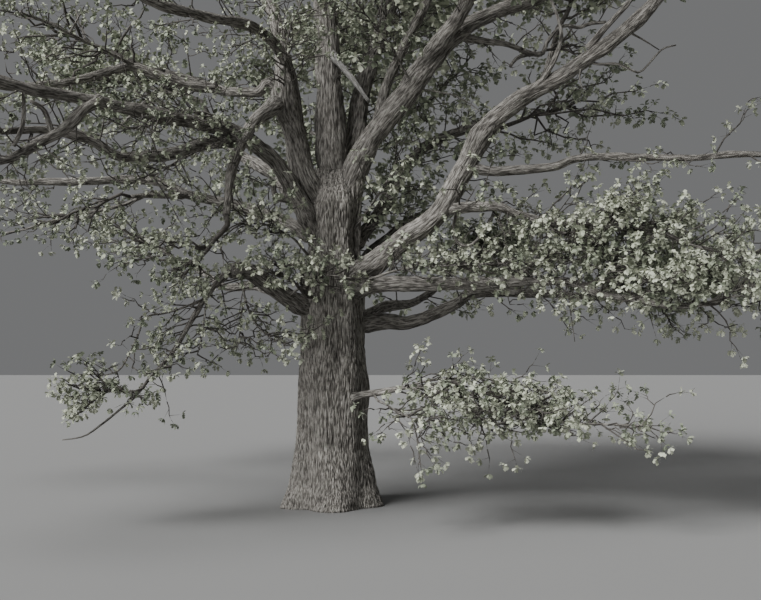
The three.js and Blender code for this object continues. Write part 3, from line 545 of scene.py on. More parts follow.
# Lesser branches: thinner living limbs that fork from the boughs, or carry one on among its leaves. Each is
# its diameters at the foot and the tip, and the places that its middle line passes through.
FEWEST_BRANCH_RINGS = 8
FIRST_BRANCH_NUMBER = 60
BRANCHES = {
    "left_fork": (0.22, 0.12, [(-3.86, -3.55, 7.5), (-4.08, -3.8, 7.25), (-4.22, -3.9, 7.04),
        (-4.4, -4, 6.84), (-4.63, -4.2, 6.63), (-4.88, -4.5, 6.36), (-5.2, -4.9, 6.09)]),
    "left_fork_up": (0.1, 0.05, [(-4.5, -4.05, 6.75), (-4.55, -4.1, 6.97), (-4.57, -4.2, 7.1),
        (-4.64, -4.3, 7.19), (-4.77, -4.4, 7.25)]),
    "left_hanger": (0.06, 0.07, [(-4.8, -4.6, 7.44), (-4.8, -4.6, 7.24), (-4.8, -4.6, 6.97),
        (-4.82, -4.6, 6.75), (-4.95, -4.6, 6.45)]),
    "left_inner": (0.11, 0.05, [(-1.79, -1.1, 7.44), (-2.2, -0.8, 7.39), (-2.56, -0.7, 7.33)]),
    "arch_on": (0.14, 0.09, [(-2.55, 0, 8.76), (-2.93, 0.2, 8.89), (-3.32, 0.2, 8.91), (-3.7, 0.1, 8.75),
        (-3.93, 0, 8.51), (-4.15, -0.2, 8.16), (-4.38, -0.4, 7.77)]),
    "arch_over": (0.23, 0.13, [(-2.45, 0, 8.72), (-3.07, -0.2, 8.73), (-3.57, -0.4, 8.86), (-4, -0.6, 9.01),
        (-4.41, -0.8, 8.87), (-4.87, -1, 8.66), (-5.34, -1.4, 8.38), (-5.93, -1.9, 8.22),
        (-6.54, -2.4, 8.19)]),
    "arch_link": (0.08, 0.07, [(-4.08, -0.6, 9), (-4, -0.5, 8.77), (-3.92, -0.3, 8.62), (-3.82, -0.1, 8.57)]),
    "arch_up": (0.09, 0.035, [(-4, -0.6, 9.01), (-4.45, -1.1, 9.14), (-4.76, -1.4, 9.25), (-5.04, -1.7, 9.32),
        (-5.7, -2.5, 9.45)]),
    "arch_up_side": (0.05, 0.02, [(-5.04, -1.7, 9.32), (-4.83, -1.9, 9.47), (-4.6, -2.2, 9.67)]),
    "arch_up_low": (0.045, 0.02, [(-4.45, -1.1, 9.14), (-4.79, -1.3, 9.1), (-5.16, -1.6, 8.88),
        (-5.41, -1.9, 8.67)]),
    "left_low_thin": (0.09, 0.04, [(-3.9, 0.6, 6.62), (-4.6, 0.3, 6.25), (-5.5, 0.2, 6.08), (-6.4, 0.1, 5.75),
        (-6.9, 0.1, 5.65)]),
    "left_low_spray": (0.05, 0.02, [(-1.75, -1.15, 4.7), (-1.63, -1.2, 4.2), (-1.45, -1.25, 3.72),
        (-1.15, -1.3, 3.42), (-0.75, -1.35, 3.28)]),
    "left_low_hang": (0.04, 0.02, [(-1.63, -1.2, 4.2), (-1.7, -1.3, 3.9), (-1.72, -1.35, 3.55),
        (-1.76, -1.4, 3.22)]),
    "left_low_drop": (0.04, 0.02, [(-2.36, -1.52, 4.24), (-2.34, -1.6, 3.82), (-2.39, -1.65, 3.44),
        (-2.48, -1.7, 3.07)]),
    "trunk_front": (0.06, 0.02, [(-0.9, -0.5, 4.27), (-0.5, -1.05, 4.5), (0, -1.4, 4.6),
        (0.45, -1.55, 4.56)]),
    "inner_veil": (0.06, 0.02, [(-0.4, -0.3, 5.05), (-0.75, -0.9, 5.42), (-1.2, -1.25, 5.62),
        (-1.75, -1.4, 5.66)]),
    "low_veil": (0.06, 0.02, [(0.55, -0.45, 4.55), (1.2, -1.2, 4.72), (2, -1.65, 4.78), (2.9, -1.95, 4.8),
        (3.6, -2.15, 4.78)]),
    "low_veil_out": (0.06, 0.02, [(3.66, -1.75, 4.58), (4, -2.1, 4.85), (4.5, -2.45, 5), (5.1, -2.7, 5.12)]),
    "arch_veil": (0.06, 0.02, [(3.9, -1.7, 5.68), (4.2, -2, 5.45), (4.6, -2.3, 5.25), (5.05, -2.5, 4.95),
        (5.4, -2.6, 4.6)]),
    "right_inner": (0.06, 0.02, [(0.3, 0, 5.5), (0.7, -0.2, 6), (1, -0.25, 6.45), (1.22, -0.1, 6.9),
        (1.4, 0.1, 7.4)]),
    "droop_front": (0.06, 0.02, [(0.85, -0.95, 2.31), (1.02, -1.7, 2.22), (1.22, -2.4, 2.08),
        (1.55, -3, 1.94), (1.95, -3.4, 1.8)]),
    "droop_near": (0.05, 0.02, [(1.6, -1.55, 2.46), (1.95, -2.2, 2.3), (2.45, -2.75, 2.08),
        (3.1, -3.1, 1.82)]),
    "fall_on": (0.06, 0.02, [(-3.21, -2.38, 2.65), (-3.43, -2.5, 2.33), (-3.72, -2.6, 2.07),
        (-4.01, -2.7, 1.82), (-4.27, -2.8, 1.63), (-4.62, -2.9, 1.57)]),
    "fall_twig": (0.05, 0.02, [(-2.4, -1.55, 4.15), (-2.74, -1.9, 3.96), (-3.01, -2.1, 3.84),
        (-3.32, -2.3, 3.76), (-3.44, -2.45, 3.44), (-3.6, -2.5, 3.07), (-3.76, -2.5, 2.8),
        (-4.09, -2.5, 2.71), (-4.34, -2.5, 2.82)]),
    "left_veil": (0.06, 0.02, [(-1.6, -1, 7.36), (-2.2, -2, 7.6), (-2.9, -2.8, 7.4), (-3.3, -3.4, 7)]),
    "droop_veil": (0.06, 0.02, [(-1.49, -1.1, 7.66), (-2.1, -1.7, 7.2), (-2.8, -2.2, 6.7),
        (-3.2, -2.5, 6.3)]),
    "leader_veil": (0.06, 0.02, [(-0.85, -0.35, 7.8), (-0.9, -1.2, 8.6), (-0.7, -1.8, 9.3),
        (-0.4, -2.2, 10)]),
    "snag_veil": (0.06, 0.02, [(1.68, -0.4, 8.67), (1.2, -1, 9.3), (0.8, -1.4, 9.7), (0.4, -1.7, 10.1)]),
    "stub_left": (0.16, 0.09, [(-0.45, -0.2, 6.12), (-0.95, -0.3, 6.28), (-1.17, -0.35, 6.36),
        (-1.2, -0.35, 6.7)]),
    "right_low_on": (0.15, 0.06, [(4.46, -2.12, 4.45), (5.02, -2.5, 4.22), (5.79, -3, 3.99),
        (6.58, -3.3, 3.94), (6.95, -3.35, 3.97), (7.22, -3.35, 4.26), (7.7, -3.3, 4.26)]),
    "right_arch_on": (0.14, 0.05, [(4.08, -1.69, 5.68), (4.99, -1.9, 5.54), (6.04, -2.2, 5.37),
        (6.72, -2.4, 5.12), (7.4, -2.5, 4.98), (8.2, -2.6, 4.93)]),
    "right_arch_loop": (0.07, 0.05, [(2.55, -1, 5.95), (2.45, -0.9, 5.62), (2.52, -0.9, 5.38), (2.8, -1, 5.3),
        (3.25, -1.3, 5.85)]),
    "right_droop_on": (0.08, 0.03, [(1.92, -1.78, 2.49), (2.39, -2.1, 2.28), (2.75, -2.25, 2.14),
        (3.27, -2.5, 2.01), (3.87, -2.7, 1.91), (4.54, -2.9, 1.85), (5.21, -3.05, 1.84),
        (5.71, -3.15, 1.84)]),
    "right_droop_up": (0.05, 0.02, [(1.39, -1.4, 2.42), (1.95, -1.7, 2.6), (2.68, -2, 2.66),
        (3.39, -2.3, 2.58), (4, -2.5, 2.42)]),
    "right_droop_low": (0.04, 0.02, [(2.39, -2.1, 2.28), (2.65, -2.3, 1.95), (3, -2.4, 1.7)]),
    "diag_above": (0.13, 0.07, [(4.93, -2.15, 8.86), (5.19, -2.3, 9.15), (5.38, -2.4, 9.33),
        (5.59, -2.6, 9.56), (5.76, -2.8, 9.84)]),
    "diag_riser": (0.13, 0.04, [(3.65, -1.6, 8.02), (3.89, -1.75, 8.18), (4.11, -1.9, 8.33), (4.3, -2, 8.64),
        (4.41, -2, 9.02), (4.43, -2, 9.23), (4.37, -2, 9.57), (4.24, -2, 9.96)]),
    "diag_loop": (0.06, 0.03, [(4.84, -2.1, 8.66), (5.15, -2.1, 8.57), (5.42, -2.1, 8.57), (5.65, -2.1, 8.49),
        (5.87, -2.1, 8.41), (6.01, -2.1, 8.51), (6.18, -2.1, 8.7), (6.37, -2.1, 8.88), (6.62, -2.1, 8.95)]),
    "diag_loop_over": (0.045, 0.02, [(5.6, -2.5, 9.08), (6, -2.3, 8.96), (6.3, -2.1, 8.86)]),
    "diag_hanger": (0.05, 0.02, [(4.83, -2.1, 8.62), (4.79, -2.1, 8.3), (4.84, -2.1, 8.1)]),
    "leader_twig": (0.035, 0.02, [(1.8, -0.4, 8.6), (2.22, -0.45, 8.51), (2.53, -0.5, 8.43),
        (2.81, -0.55, 8.27), (3.07, -0.6, 8.05)]),
    "right_hanger": (0.03, 0.012, [(4.5, -2.14, 4.44), (4.57, -2.12, 3.91), (4.63, -2.1, 3.32)]),
    "cross_on": (0.11, 0.06, [(3.98, 0.1, 9.58), (4.43, 0.2, 9.52), (4.56, 0.2, 9.76), (4.77, 0.2, 10),
        (4.99, 0.2, 10.13), (5.29, 0.2, 10.09), (5.51, 0.2, 10.18), (5.85, 0.2, 10.22)]),
    "cross_hook": (0.11, 0.06, [(4.47, 0.2, 9.52), (4.17, 0.2, 9.52), (3.93, 0.2, 9.43), (3.78, 0.2, 9.24)]),
    "crown_left": (0.14, 0.04, [(-0.26, 0.4, 12.1), (-1.2, 0.8, 13.4), (-2.2, 1.1, 14.6), (-2.9, 1.2, 15.6)]),
    "crown_right": (0.14, 0.04, [(-0.28, 0.45, 13), (0.7, 0.6, 14.4), (1.5, 0.5, 15.6), (1.9, 0.3, 16.6)]),
    "crown_front": (0.14, 0.04, [(-0.3, 0.45, 13.4), (-0.4, -0.9, 14.6), (-0.5, -2.1, 15.8),
        (-0.5, -2.9, 16.8)]),
    "crown_back": (0.14, 0.04, [(-0.28, 0.45, 12.8), (-0.8, 2, 13.8), (-1.2, 3.6, 14.6), (-1.3, 5, 15.2)]),
    "crown_far": (0.14, 0.04, [(0.95, 1.2, 10), (1.3, 2.9, 11.2), (2.1, 4.6, 12.2), (2.8, 6, 12.9)]),
    "crown_side": (0.14, 0.04, [(4.42, -0.5, 10.56), (5.2, 0.9, 12), (5.7, 2, 13.4), (5.9, 2.8, 14.6)]),
    "back_fill_left": (0.12, 0.04, [(0.29, 2.6, 8), (-1, 3.8, 8.8), (-2, 4.8, 9.8), (-2.7, 5.6, 10.8)]),
    "back_fill_right": (0.12, 0.04, [(0.27, 3, 8.3), (1.6, 4, 9.1), (2.7, 4.8, 10.2), (3.5, 5.4, 11.2)]),
}
for number, (name, (foot, tip, places)) in enumerate(BRANCHES.items(), FIRST_BRANCH_NUMBER):
    rows = max(FEWEST_BRANCH_RINGS, round(smooth_line(places, 2)[1] / RING_SPACING))
    radii = (foot + (tip - foot) * np.linspace(0, 1, rows)) / 2
    line, _ = smooth_line(places, rows)
    branch = limb_skin("branch_" + name, number, line, radii, younger_bark, BOUGH_FURROW_SHARE)
    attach(branch, "root")

# The snag: a dead limb of the middle leader that broke off short and hangs in front of the leaders. It
# has lost its bark, and its bare wood is weathered to a pale silver grey.
SNAG_FURROW_SHARE = 0.12
SNAG_STREAKS = 60
# The dead wood's furrow grey is partly the wood's own and partly painted shade in its cracks.
DEAD_FURROW_TONE_AND_SHADE = (0.10, 0.096, 0.09)
DEAD_MIDDLE = (0.20, 0.194, 0.184)
DEAD_PALE = (0.34, 0.33, 0.315)
bare_wood = bark_finish("bare_dead_wood", DEAD_FURROW_TONE_AND_SHADE, DEAD_MIDDLE, DEAD_PALE, SNAG_STREAKS)
snag = bough_skin(len(BOUGHS), "snag", bare_wood, SNAG_FURROW_SHARE)
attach(snag, "root")
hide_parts("bough_snag")

# The twigs: living wood with thin bark, whose dark colour is partly its own and partly painted shade among
# the leaves. One stem goes on from each bough's tip into its leaves, twigs reach for places spread evenly
# over that mass's own space, and branchlets and shoots stand on them.
MASS_FLATNESS = 0.7
SPACE_MARGIN = 0.012
LIMB_MARGIN = 0.025
SHOOT_TIP_MARGIN, SPRAY_TIP_MARGIN = 3 * LIMB_MARGIN, 4 * LIMB_MARGIN
SHOOT_PROBE = 0.6
CLEARANCE = 0.0003
GOLDEN_ANGLE = math.pi * (3 - math.sqrt(5))
UP = np.array((0.0, 0.0, 1.0))
# Each mass of leaves: the bough that carries it, the middle and radius of its space, and its twigs' seed.
MASSES = {
    "mid_leader": ((-0.3, 0.3, 17.6), 3.0, 15),
    "right_leader": ((8.2, 0.1, 13.0), 3.1, 35),
    "left_leader": ((-4.4, 1.3, 13.0), 3.3, 9),
    "mid_right": ((2.6, 4.3, 15.6), 3.1, 24),
    "right_diag": ((8.3, -4.7, 12.0), 2.7, 14),
    "right_low": ((6.1, -3.0, 4.45), 1.65, 9),
    "left_long": ((-7.5, -7.4, 8.0), 2.4, 14),
    "left_low_fall": ((-3.95, -2.85, 2.45), 1.0, 39),
    "left_up": ((-4.9, -7.2, 11.0), 2.5, 14),
    "left_droop": ((-2.5, -2.15, 4.8), 1.2, 16),
    "left_second": ((-6.8, -4.3, 7.3), 1.9, 15),
    "left_arch": ((-5.4, -0.5, 9.7), 2.5, 30),
    "left_mid": ((-9.9, 0.9, 7.8), 3.0, 30),
    "left_shelf": ((-5.4, -0.6, 5.85), 1.5, 38),
    "right_under": ((7.8, 0.9, 4.8), 2.1, 24),
    "right_arch": ((5.7, -2.0, 5.55), 1.7, 14),
    "right_thin": ((10.9, -2.4, 7.4), 2.8, 15),
    "right_upper": ((4.3, -5.7, 13.8), 2.9, 19),
    "inner_stem": ((3.7, -0.25, 15.95), 2.8, 24),
    "cross_right": ((5.1, 0.7, 9.9), 1.0, 36),
    "back_right": ((5.8, 2.6, 12.1), 2.6, 24),
    "low_right_droop": ((3.25, -2.45, 2.15), 1.9, 10),
    "front_high": ((-0.7, -5.8, 14.9), 3.2, 30),
    "back_left": ((-6.2, 6.0, 10.6), 3.5, 36),
    "back_mid": ((0.0, 7.6, 12.4), 3.4, 14),
    "back_far_right": ((6.3, 6.6, 10.1), 3.4, 15),
    "back_low_left": ((-5.6, 5.6, 6.2), 2.6, 14),
    "back_low_right": ((4.1, 6.3, 6.1), 2.3, 19),
    "trunk": ((-0.95, -1.75, 4.65), 1.05, 11),
}
# Masses that lie in flat layers, with their limbs' sprays, and how much of their height they keep.
LAYERED = {"low_right_droop": 0.5, "right_low": 0.85, "left_shelf": 0.6, "trunk": 0.75}
TRUNK_MASS_ROOT = (-0.25, -0.5, 4.15)
TRUNK_MASS_LEAVING = (-0.3, -1.0, 0.2)
# Each mass's stem: how far it runs past the middle of its space, in radii, for how much of the way it keeps
# its bough's heading, and the first of its points that carries branchlets.
STEM_PAST_MIDDLE = 0.4
STEM_LEAVING_SHARE = 0.3
STEM_POINTS, STEM_BRANCHED_FROM = 101, 45
STEM_FOOT_SHARE, STEM_TIP_RADIUS, STEM_WANDER = 0.48, 0.0168, 0.04
# The first few twigs of each mass, at the smallest size and at the fullest, and their reach in radii; then
# how many more there are, and their reach; and where on the stem a twig forks off.
FEWEST_TWIGS, MOST_TWIGS = 4, 6
RADIUS_FOR_MOST_TWIGS = 2.3
TWIG_REACH, TWIG_REACH_SPREAD = 0.52, 0.08
FEWEST_MORE_TWIGS, MORE_TWIGS = 3, 9
MORE_REACH, MORE_REACH_CURVE = (0.25, 0.92), 0.6
TWIG_TURN_SPREAD, TWIG_AHEAD = 0.6, 0.3
TWIG_FORK, FORK_BY_AIM, FORK_SPREAD, FORK_WITHIN = 0.42, 0.3, 0.1, (0.15, 0.9)
TWIG_SEED_STEP = 7919
# Joints, sides and radii at the foot and the tip, and sway as a share of the length.
STEM_JOINTS, TWIG_JOINTS, BRANCHLET_JOINTS, SHOOT_JOINTS = 9, 6, 4, 2
STEM_SIDES, TWIG_SIDES, BRANCHLET_SIDES, SHOOT_SIDES = 7, 5, 4, 3
TWIG_RADIUS = 0.042
TWIG_RADII, SPRAY_RADII = (TWIG_RADIUS * 0.8, 0.012), (0.017, 0.009)
BRANCHLET_RADII, SHOOT_RADII = (0.012, 0.006), (0.0055, 0.003)
TWIG_SWAY, SPRAY_SWAY, FINE_SWAY = 0.035, 0.05, 0.06
# Rosettes of leaves wanted for each square metre of a mass's radius squared: in low masses and in high ones.
LOW_MASS_HEIGHT = 8.5
LOW_FULLNESS, HIGH_FULLNESS = 225, 112
# Masses that the photograph shows as a thin veil, and their share of the full number.
THINNED = {
    "low_right_droop": 0.45, "left_arch": 0.3, "left_shelf": 0.25, "left_droop": 0.65, "left_second": 0.7,
    "left_mid": 0.4, "right_thin": 0.8, "back_far_right": 0.35, "back_low_left": 0.2, "cross_right": 0.4,
    "trunk": 0.8,
}
ROSETTES_PER_BRANCHLET = 4.4
BRANCHED_SHARE = 0.8
# Branchlets and shoots: where on their parent they start, spacing and reach, swing from its run, and lift.
SPRAY_BRANCHLET_SPACING = 0.26
BRANCHLETS_FROM, SHOOTS_FROM = 0.2, 0.1
SHOOT_SPACING = 0.145
BRANCHLET_REACH, BRANCHLET_REACH_SPREAD = 0.36, 0.24
SHOOT_REACH = 0.25
LEAST_SWING, SWING_SPREAD = 0.75, 0.35
LIFT, LIFT_SPREAD = 0.06, 0.30
REACH_AT_FOOT, REACH_LOST = 1.2, 0.5
LEAST_REACH, REACH_SPREAD = 0.65, 0.6
STEEP_SHOOT, STEEP_SCATTER, STEEP_TUBE = 0.3, (1, 1, 0.2), 0.9
# Sprays straight from a limb's bark: their reach and flatness on thick and thin limbs, and their headings.
THIN_LIMB = 0.09
SPRAY_REACH, THIN_SPRAY_REACH = 0.95, 0.62
SPRAY_FLATNESS, THIN_SPRAY_FLATNESS = 0.7, 0.4
LEAST_SPRAY, SPRAY_SPREAD = 0.4, 0.8
SPRAY_AHEAD, SPRAY_LIFT = 0.45, 0.10
LIMB_POINTS = 200
# Limbs that carry no sprays past this share of their length.
BARE_PAST = {"back_right": 0.62}
# The parts of the crown, and the limbs in each. A limb's sprays start at this share of its length, and stand
# this far apart; the mass in front of the trunk has no limb.
CROWN_PARTS = {
    "low_right": {
        "right_low": (0.74, 0.10), "right_low_on": (0.0, 0.10), "right_under": (0.42, 0.16),
        "right_arch": (0.15, 0.13), "right_arch_on": (0.0, 0.12), "right_thin": (0.3, 0.62),
        "low_right_droop": (0.62, 0.16), "right_droop_on": (0.0, 0.11), "right_droop_up": (0.2, 0.15),
        "right_droop_low": (0.2, 0.16), "droop_front": (0.5, 0.07), "droop_near": (0.2, 0.09),
        "right_inner": (0.3, 0.10), "cross_right": (0.3, 0.50), "cross_on": (0.4, 0.5),
        "low_veil": (0.15, 0.055), "low_veil_out": (0.15, 0.05), "arch_veil": (0.15, 0.05),
    },
    "low_left": {
        "left_low": (0.4, 0.16), "left_low_fall": (0.1, 0.26), "left_droop": (0.5, 0.26),
        "left_second": (0.22, 0.20), "left_shelf": (0.1, 0.50), "left_mid": (0.2, 0.30),
        "left_low_thin": (0.1, 0.34), "left_low_spray": (0.3, 0.08), "left_low_drop": (0.3, 0.08),
        "left_low_hang": (0.3, 0.08), "fall_twig": (0.1, 0.26), "trunk_front": (0.25, 0.08),
        "inner_veil": (0.42, 0.05), "trunk": None,
    },
    "upper_left": {
        "left_long": (0.25, 0.42), "left_fork": (0.2, 0.20), "left_inner": (0.3, 0.15),
        "left_up": (0.25, 0.22), "left_leader": (0.40, 0.22), "left_arch": (0.3, 0.40),
        "arch_on": (0.2, 0.22), "arch_over": (0.5, 0.5), "arch_up": (0.1, 0.18), "left_veil": (0.2, 0.08),
        "droop_veil": (0.2, 0.08), "leader_veil": (0.3, 0.09), "snag_veil": (0.3, 0.09),
    },
    "top": {
        "mid_leader": (0.30, 0.20), "mid_right": (0.2, 0.22), "inner_stem": (0.2, 0.20),
        "front_high": (0.3, 0.34), "crown_left": (0.1, 0.09), "crown_right": (0.1, 0.09),
        "crown_front": (0.1, 0.09), "crown_back": (0.1, 0.09),
    },
    "upper_right": {
        "right_leader": (0.62, 0.34), "right_diag": (0.85, 0.50), "diag_above": (0.7, 0.4),
        "right_upper": (0.3, 0.36), "back_right": (0.08, 0.11), "crown_side": (0.2, 0.09),
    },
    "back": {
        "back_left": (0.25, 0.32), "back_mid": (0.25, 0.32), "back_low_left": (0.4, 0.6),
        "crown_far": (0.15, 0.09), "back_fill_left": (0.1, 0.10), "back_fill_right": (0.1, 0.10),
    },
    "far_side": {
        "back_far_right": (0.25, 0.5), "back_low_right": (0.45, 0.36),
    },
}
# The twigs' bark greys, darkened past their own colour as painted shade among the leaves.
TWIG_DARK_SHADED, TWIG_PALE_SHADED = (0.030, 0.027, 0.024), (0.110, 0.100, 0.088)

mass_squash = np.array((1, 1, 1 / MASS_FLATNESS))
mass_centres = np.array([middle for middle, _, _ in MASSES.values()]) * mass_squash
mass_sizes = np.array([radius for _, radius, _ in MASSES.values()])


def seeded(seed):
    """A stream of numbers from 0 to 1 that is the same on every run."""
    state = seed
    while True:
        state = (state * 1664525 + 1013904223) % 4294967296
        yield state / 4294967296


def in_space(number, points):
    """Which points lie in a mass's own space: inside its radius, and nearer to it than to any other mass."""
    powers = ((points[:, None, :] * mass_squash - mass_centres) ** 2).sum(axis=-1) - mass_sizes ** 2
    own = powers[:, number]
    apart = np.linalg.norm(mass_centres - mass_centres[number], axis=1)
    apart[number] = 1
    ahead = (powers - own[:, None]) / (2 * apart)
    ahead[:, number] = np.inf
    return (own <= 0) & (ahead > SPACE_MARGIN).all(axis=1)


def wavering(starts, ends, joints, sway, chance):
    """Lines of a few joints from each start to each end, each joint a little off the straight run."""
    share = np.linspace(0, 1, joints)[None, :, None]
    lines = starts[:, None, :] * (1 - share) + ends[:, None, :] * share
    off = chance.normal(size=lines.shape) * np.linalg.norm(ends - starts, axis=1)[:, None, None] * sway
    off[:, (0, -1)] = 0
    return lines + off


def side_shoots(lines, spacing, first, reach, chance):
    """Shoots that leave a batch of twigs to both sides in turn and at the tip: starts, ends, and parents."""
    starts, ends, parents = [], [], []
    joints = lines.shape[1]
    for number, line in enumerate(lines):
        length = np.linalg.norm(line[-1] - line[0])
        count = max(2, round(length * (1 - first) / spacing))
        share = first + (1 - first) * (np.arange(count) + 1) / count
        place = share * (joints - 1)
        joint = np.minimum(place.astype(int), joints - 2)
        run = line[joint + 1] - line[joint]
        start = line[joint] + run * (place - joint)[:, None]
        run = unit(run)
        across = np.cross(UP, run)
        steep = np.linalg.norm(across, axis=1) < STEEP_SHOOT
        across[steep] = chance.normal(size=(steep.sum(), 3)) * STEEP_SCATTER
        across = unit(across) * np.where(np.arange(count) % 2 == 0, 1, -1)[:, None]
        swing = LEAST_SWING + SWING_SPREAD * chance.random(count)
        swing[-1] = 0
        heading = run * np.cos(swing)[:, None] + across * np.sin(swing)[:, None]
        heading[:, 2] += LIFT_SPREAD * chance.normal(size=count) + LIFT
        sizes = LEAST_REACH + REACH_SPREAD * chance.random(count)
        starts.append(start)
        ends.append(start + unit(heading) * (reach * (REACH_AT_FOOT - REACH_LOST * share) * sizes)[:, None])
        parents.append(np.full(count, number))
    return np.concatenate(starts), np.concatenate(ends), np.concatenate(parents)


def kept_clear(starts, ends, parents, mass):
    """Shoots that keep off the limbs and, in a mass, to its space. One that leaves it is halved."""
    good = np.ones(len(ends), bool)
    if mass is not None:
        outside = ~in_space(mass, ends)
        ends = np.where(outside[:, None], (starts + ends) / 2, ends)
        good = in_space(mass, ends)
    good &= room_to_limbs(ends) > SHOOT_TIP_MARGIN
    good &= room_to_limbs(starts * (1 - SHOOT_PROBE) + ends * SHOOT_PROBE) > LIMB_MARGIN
    return starts[good], ends[good], parents[good]


def mass_stem(name):
    """The line of a mass's stem, which goes on from its bough's tip through the middle of its space."""
    middle, radius, _ = MASSES[name]
    if name == "trunk":
        start, leaving = np.array(TRUNK_MASS_ROOT), unit(np.array(TRUNK_MASS_LEAVING))
    else:
        line, _ = smooth_line(BOUGHS[name][2], 2 * LIMB_POINTS)
        leaving = unit(line[-1] - line[-2])
        start = line[-1] + leaving * CLEARANCE
    heading = unit(np.array(middle) - start)
    span = np.linalg.norm(np.array(middle) - start)
    far = np.array(middle) + heading * radius * STEM_PAST_MIDDLE
    bend = start + leaving * span * STEM_LEAVING_SHARE
    return smooth_line([start, bend, middle, far], STEM_POINTS)[0], heading


def mass_twigs(name, number, stem, heading, chance):
    """The twigs of a mass: first the few of the plain rule, then more of them by the same rule."""
    middle, radius, seed = MASSES[name]
    random = seeded(seed * TWIG_SEED_STEP)
    starts, ends = [], []
    plain = max(FEWEST_TWIGS, round(MOST_TWIGS * min(1, radius / RADIUS_FOR_MOST_TWIGS)))
    more = max(FEWEST_MORE_TWIGS, round(MORE_TWIGS * radius / RADIUS_FOR_MOST_TWIGS))
    for twigs in (plain, more):
        for i in range(twigs):
            height = 1 - (2 * i + 1) / twigs
            turn = i * GOLDEN_ANGLE + next(random) * TWIG_TURN_SPREAD + seed
            level = math.sqrt(1 - height * height)
            aim = np.array((level * math.cos(turn), level * math.sin(turn), height))
            aim = unit(aim + heading * TWIG_AHEAD)
            reach = TWIG_REACH + TWIG_REACH_SPREAD * next(random)
            if twigs == more:
                reach = MORE_REACH[0] + (MORE_REACH[1] - MORE_REACH[0]) * chance.random() ** MORE_REACH_CURVE
            end = np.array(middle) + aim * reach * radius * (1, 1, MASS_FLATNESS * LAYERED.get(name, 1))
            share = TWIG_FORK + FORK_BY_AIM * float(aim @ heading) + FORK_SPREAD * next(random)
            share = min(max(share, FORK_WITHIN[0]), FORK_WITHIN[1])
            if in_space(number, end[None])[0] and room_to_limbs(end[None])[0] > TWIG_RADIUS:
                starts.append(stem[round(share * (len(stem) - 1))])
                ends.append(end)
    return wavering(np.array(starts), np.array(ends), TWIG_JOINTS, TWIG_SWAY, chance)


def limb_sprays(name, first, spacing, chance):
    """Sprays that break from the bark all round a limb, rather flat, turned a little towards its tip."""
    foot, tip, places = (BOUGHS | BRANCHES)[name]
    line, length = smooth_line(places, LIMB_POINTS)
    sprayed = BARE_PAST.get(name, 1) - first
    count = max(2, round(length * sprayed / spacing))
    share = first + sprayed * (np.arange(count) + chance.random(count)) / count
    joint = np.minimum((share * (LIMB_POINTS - 1)).astype(int), LIMB_POINTS - 2)
    runs = unit(line[joint + 1] - line[joint])
    around = unit(np.cross(runs, chance.normal(size=(count, 3))))
    most = SPRAY_REACH if foot > THIN_LIMB else THIN_SPRAY_REACH
    flatness = THIN_SPRAY_FLATNESS if foot <= THIN_LIMB or name in LAYERED else SPRAY_FLATNESS
    headings = unit(around * (1, 1, flatness) + runs * SPRAY_AHEAD + UP * SPRAY_LIFT)
    reaches = most * (LEAST_SPRAY + SPRAY_SPREAD * chance.random(count)) + taper(foot, tip, share, length)
    starts, ends = line[joint], line[joint] + headings * reaches[:, None]
    good = room_to_limbs(ends) > SPRAY_TIP_MARGIN
    return wavering(starts[good], ends[good], BRANCHLET_JOINTS, SPRAY_SWAY, chance)


def tubes(lines, radii, sides):
    """Closed tubes round a batch of lines, tapering between two radii and pointed: points and faces."""
    count, joints, _ = lines.shape
    runs = unit(np.gradient(lines, axis=1))
    steep = (np.abs(unit(lines[:, -1] - lines[:, 0])[:, 2]) > STEEP_TUBE)[:, None, None]
    across = unit(np.cross(runs, np.where(steep, (1.0, 0, 0), UP)))
    above = np.cross(runs, across)
    turn = np.arange(sides) * math.tau / sides
    rings = lines[:, :-1, None] + np.linspace(*radii, joints)[:-1, None, None] * (
        across[:, :-1, None] * np.cos(turn)[:, None] + above[:, :-1, None] * np.sin(turn)[:, None]
    )
    points = np.concatenate([rings.reshape(count, -1, 3), lines[:, -1:]], axis=1)
    walls, around, after = ring_walls(joints - 1, sides)
    last = (joints - 2) * sides
    tips = np.stack([last + around, last + after, np.full(sides, (joints - 1) * sides)], axis=-1)
    base = np.arange(count)[:, None, None] * points.shape[1]
    faces = [base + walls, base + tips, base + around[::-1][None, :]]
    return points.reshape(-1, 3), [face.reshape(-1, face.shape[-1]) for face in faces]


def joined(batches):
    """Several (points, faces) batches as one."""
    points, faces, base = [], [], 0
    for batch_points, batch_faces in batches:
        points.append(batch_points)
        faces.extend(face + base for face in batch_faces)
        base += len(batch_points)
    return np.concatenate(points), faces


def grown(lines, spacing, mass, chance, wood, tips):
    """Branchlets and shoots on a batch of twigs, added to the wood, with the places of their rosettes."""
    made = side_shoots(lines, spacing, BRANCHLETS_FROM, BRANCHLET_REACH, chance)
    starts, ends, _ = kept_clear(*made, mass)
    longer = 1 + BRANCHLET_REACH_SPREAD / BRANCHLET_REACH * chance.random((len(ends), 1))
    branchlets = wavering(starts, starts + (ends - starts) * longer, BRANCHLET_JOINTS, FINE_SWAY, chance)
    wood.append(tubes(branchlets, BRANCHLET_RADII, BRANCHLET_SIDES))
    made = side_shoots(branchlets, SHOOT_SPACING, SHOOTS_FROM, SHOOT_REACH, chance)
    starts, ends, sprays = kept_clear(*made, mass)
    shoots = wavering(starts, ends, SHOOT_JOINTS, FINE_SWAY, chance)
    wood.append(tubes(shoots, SHOOT_RADII, SHOOT_SIDES))
    sprays = sprays + sum(len(places) for places, _, _ in tips)
    tips.append((shoots[:, -1], unit(shoots[:, -1] - shoots[:, 0]), sprays))
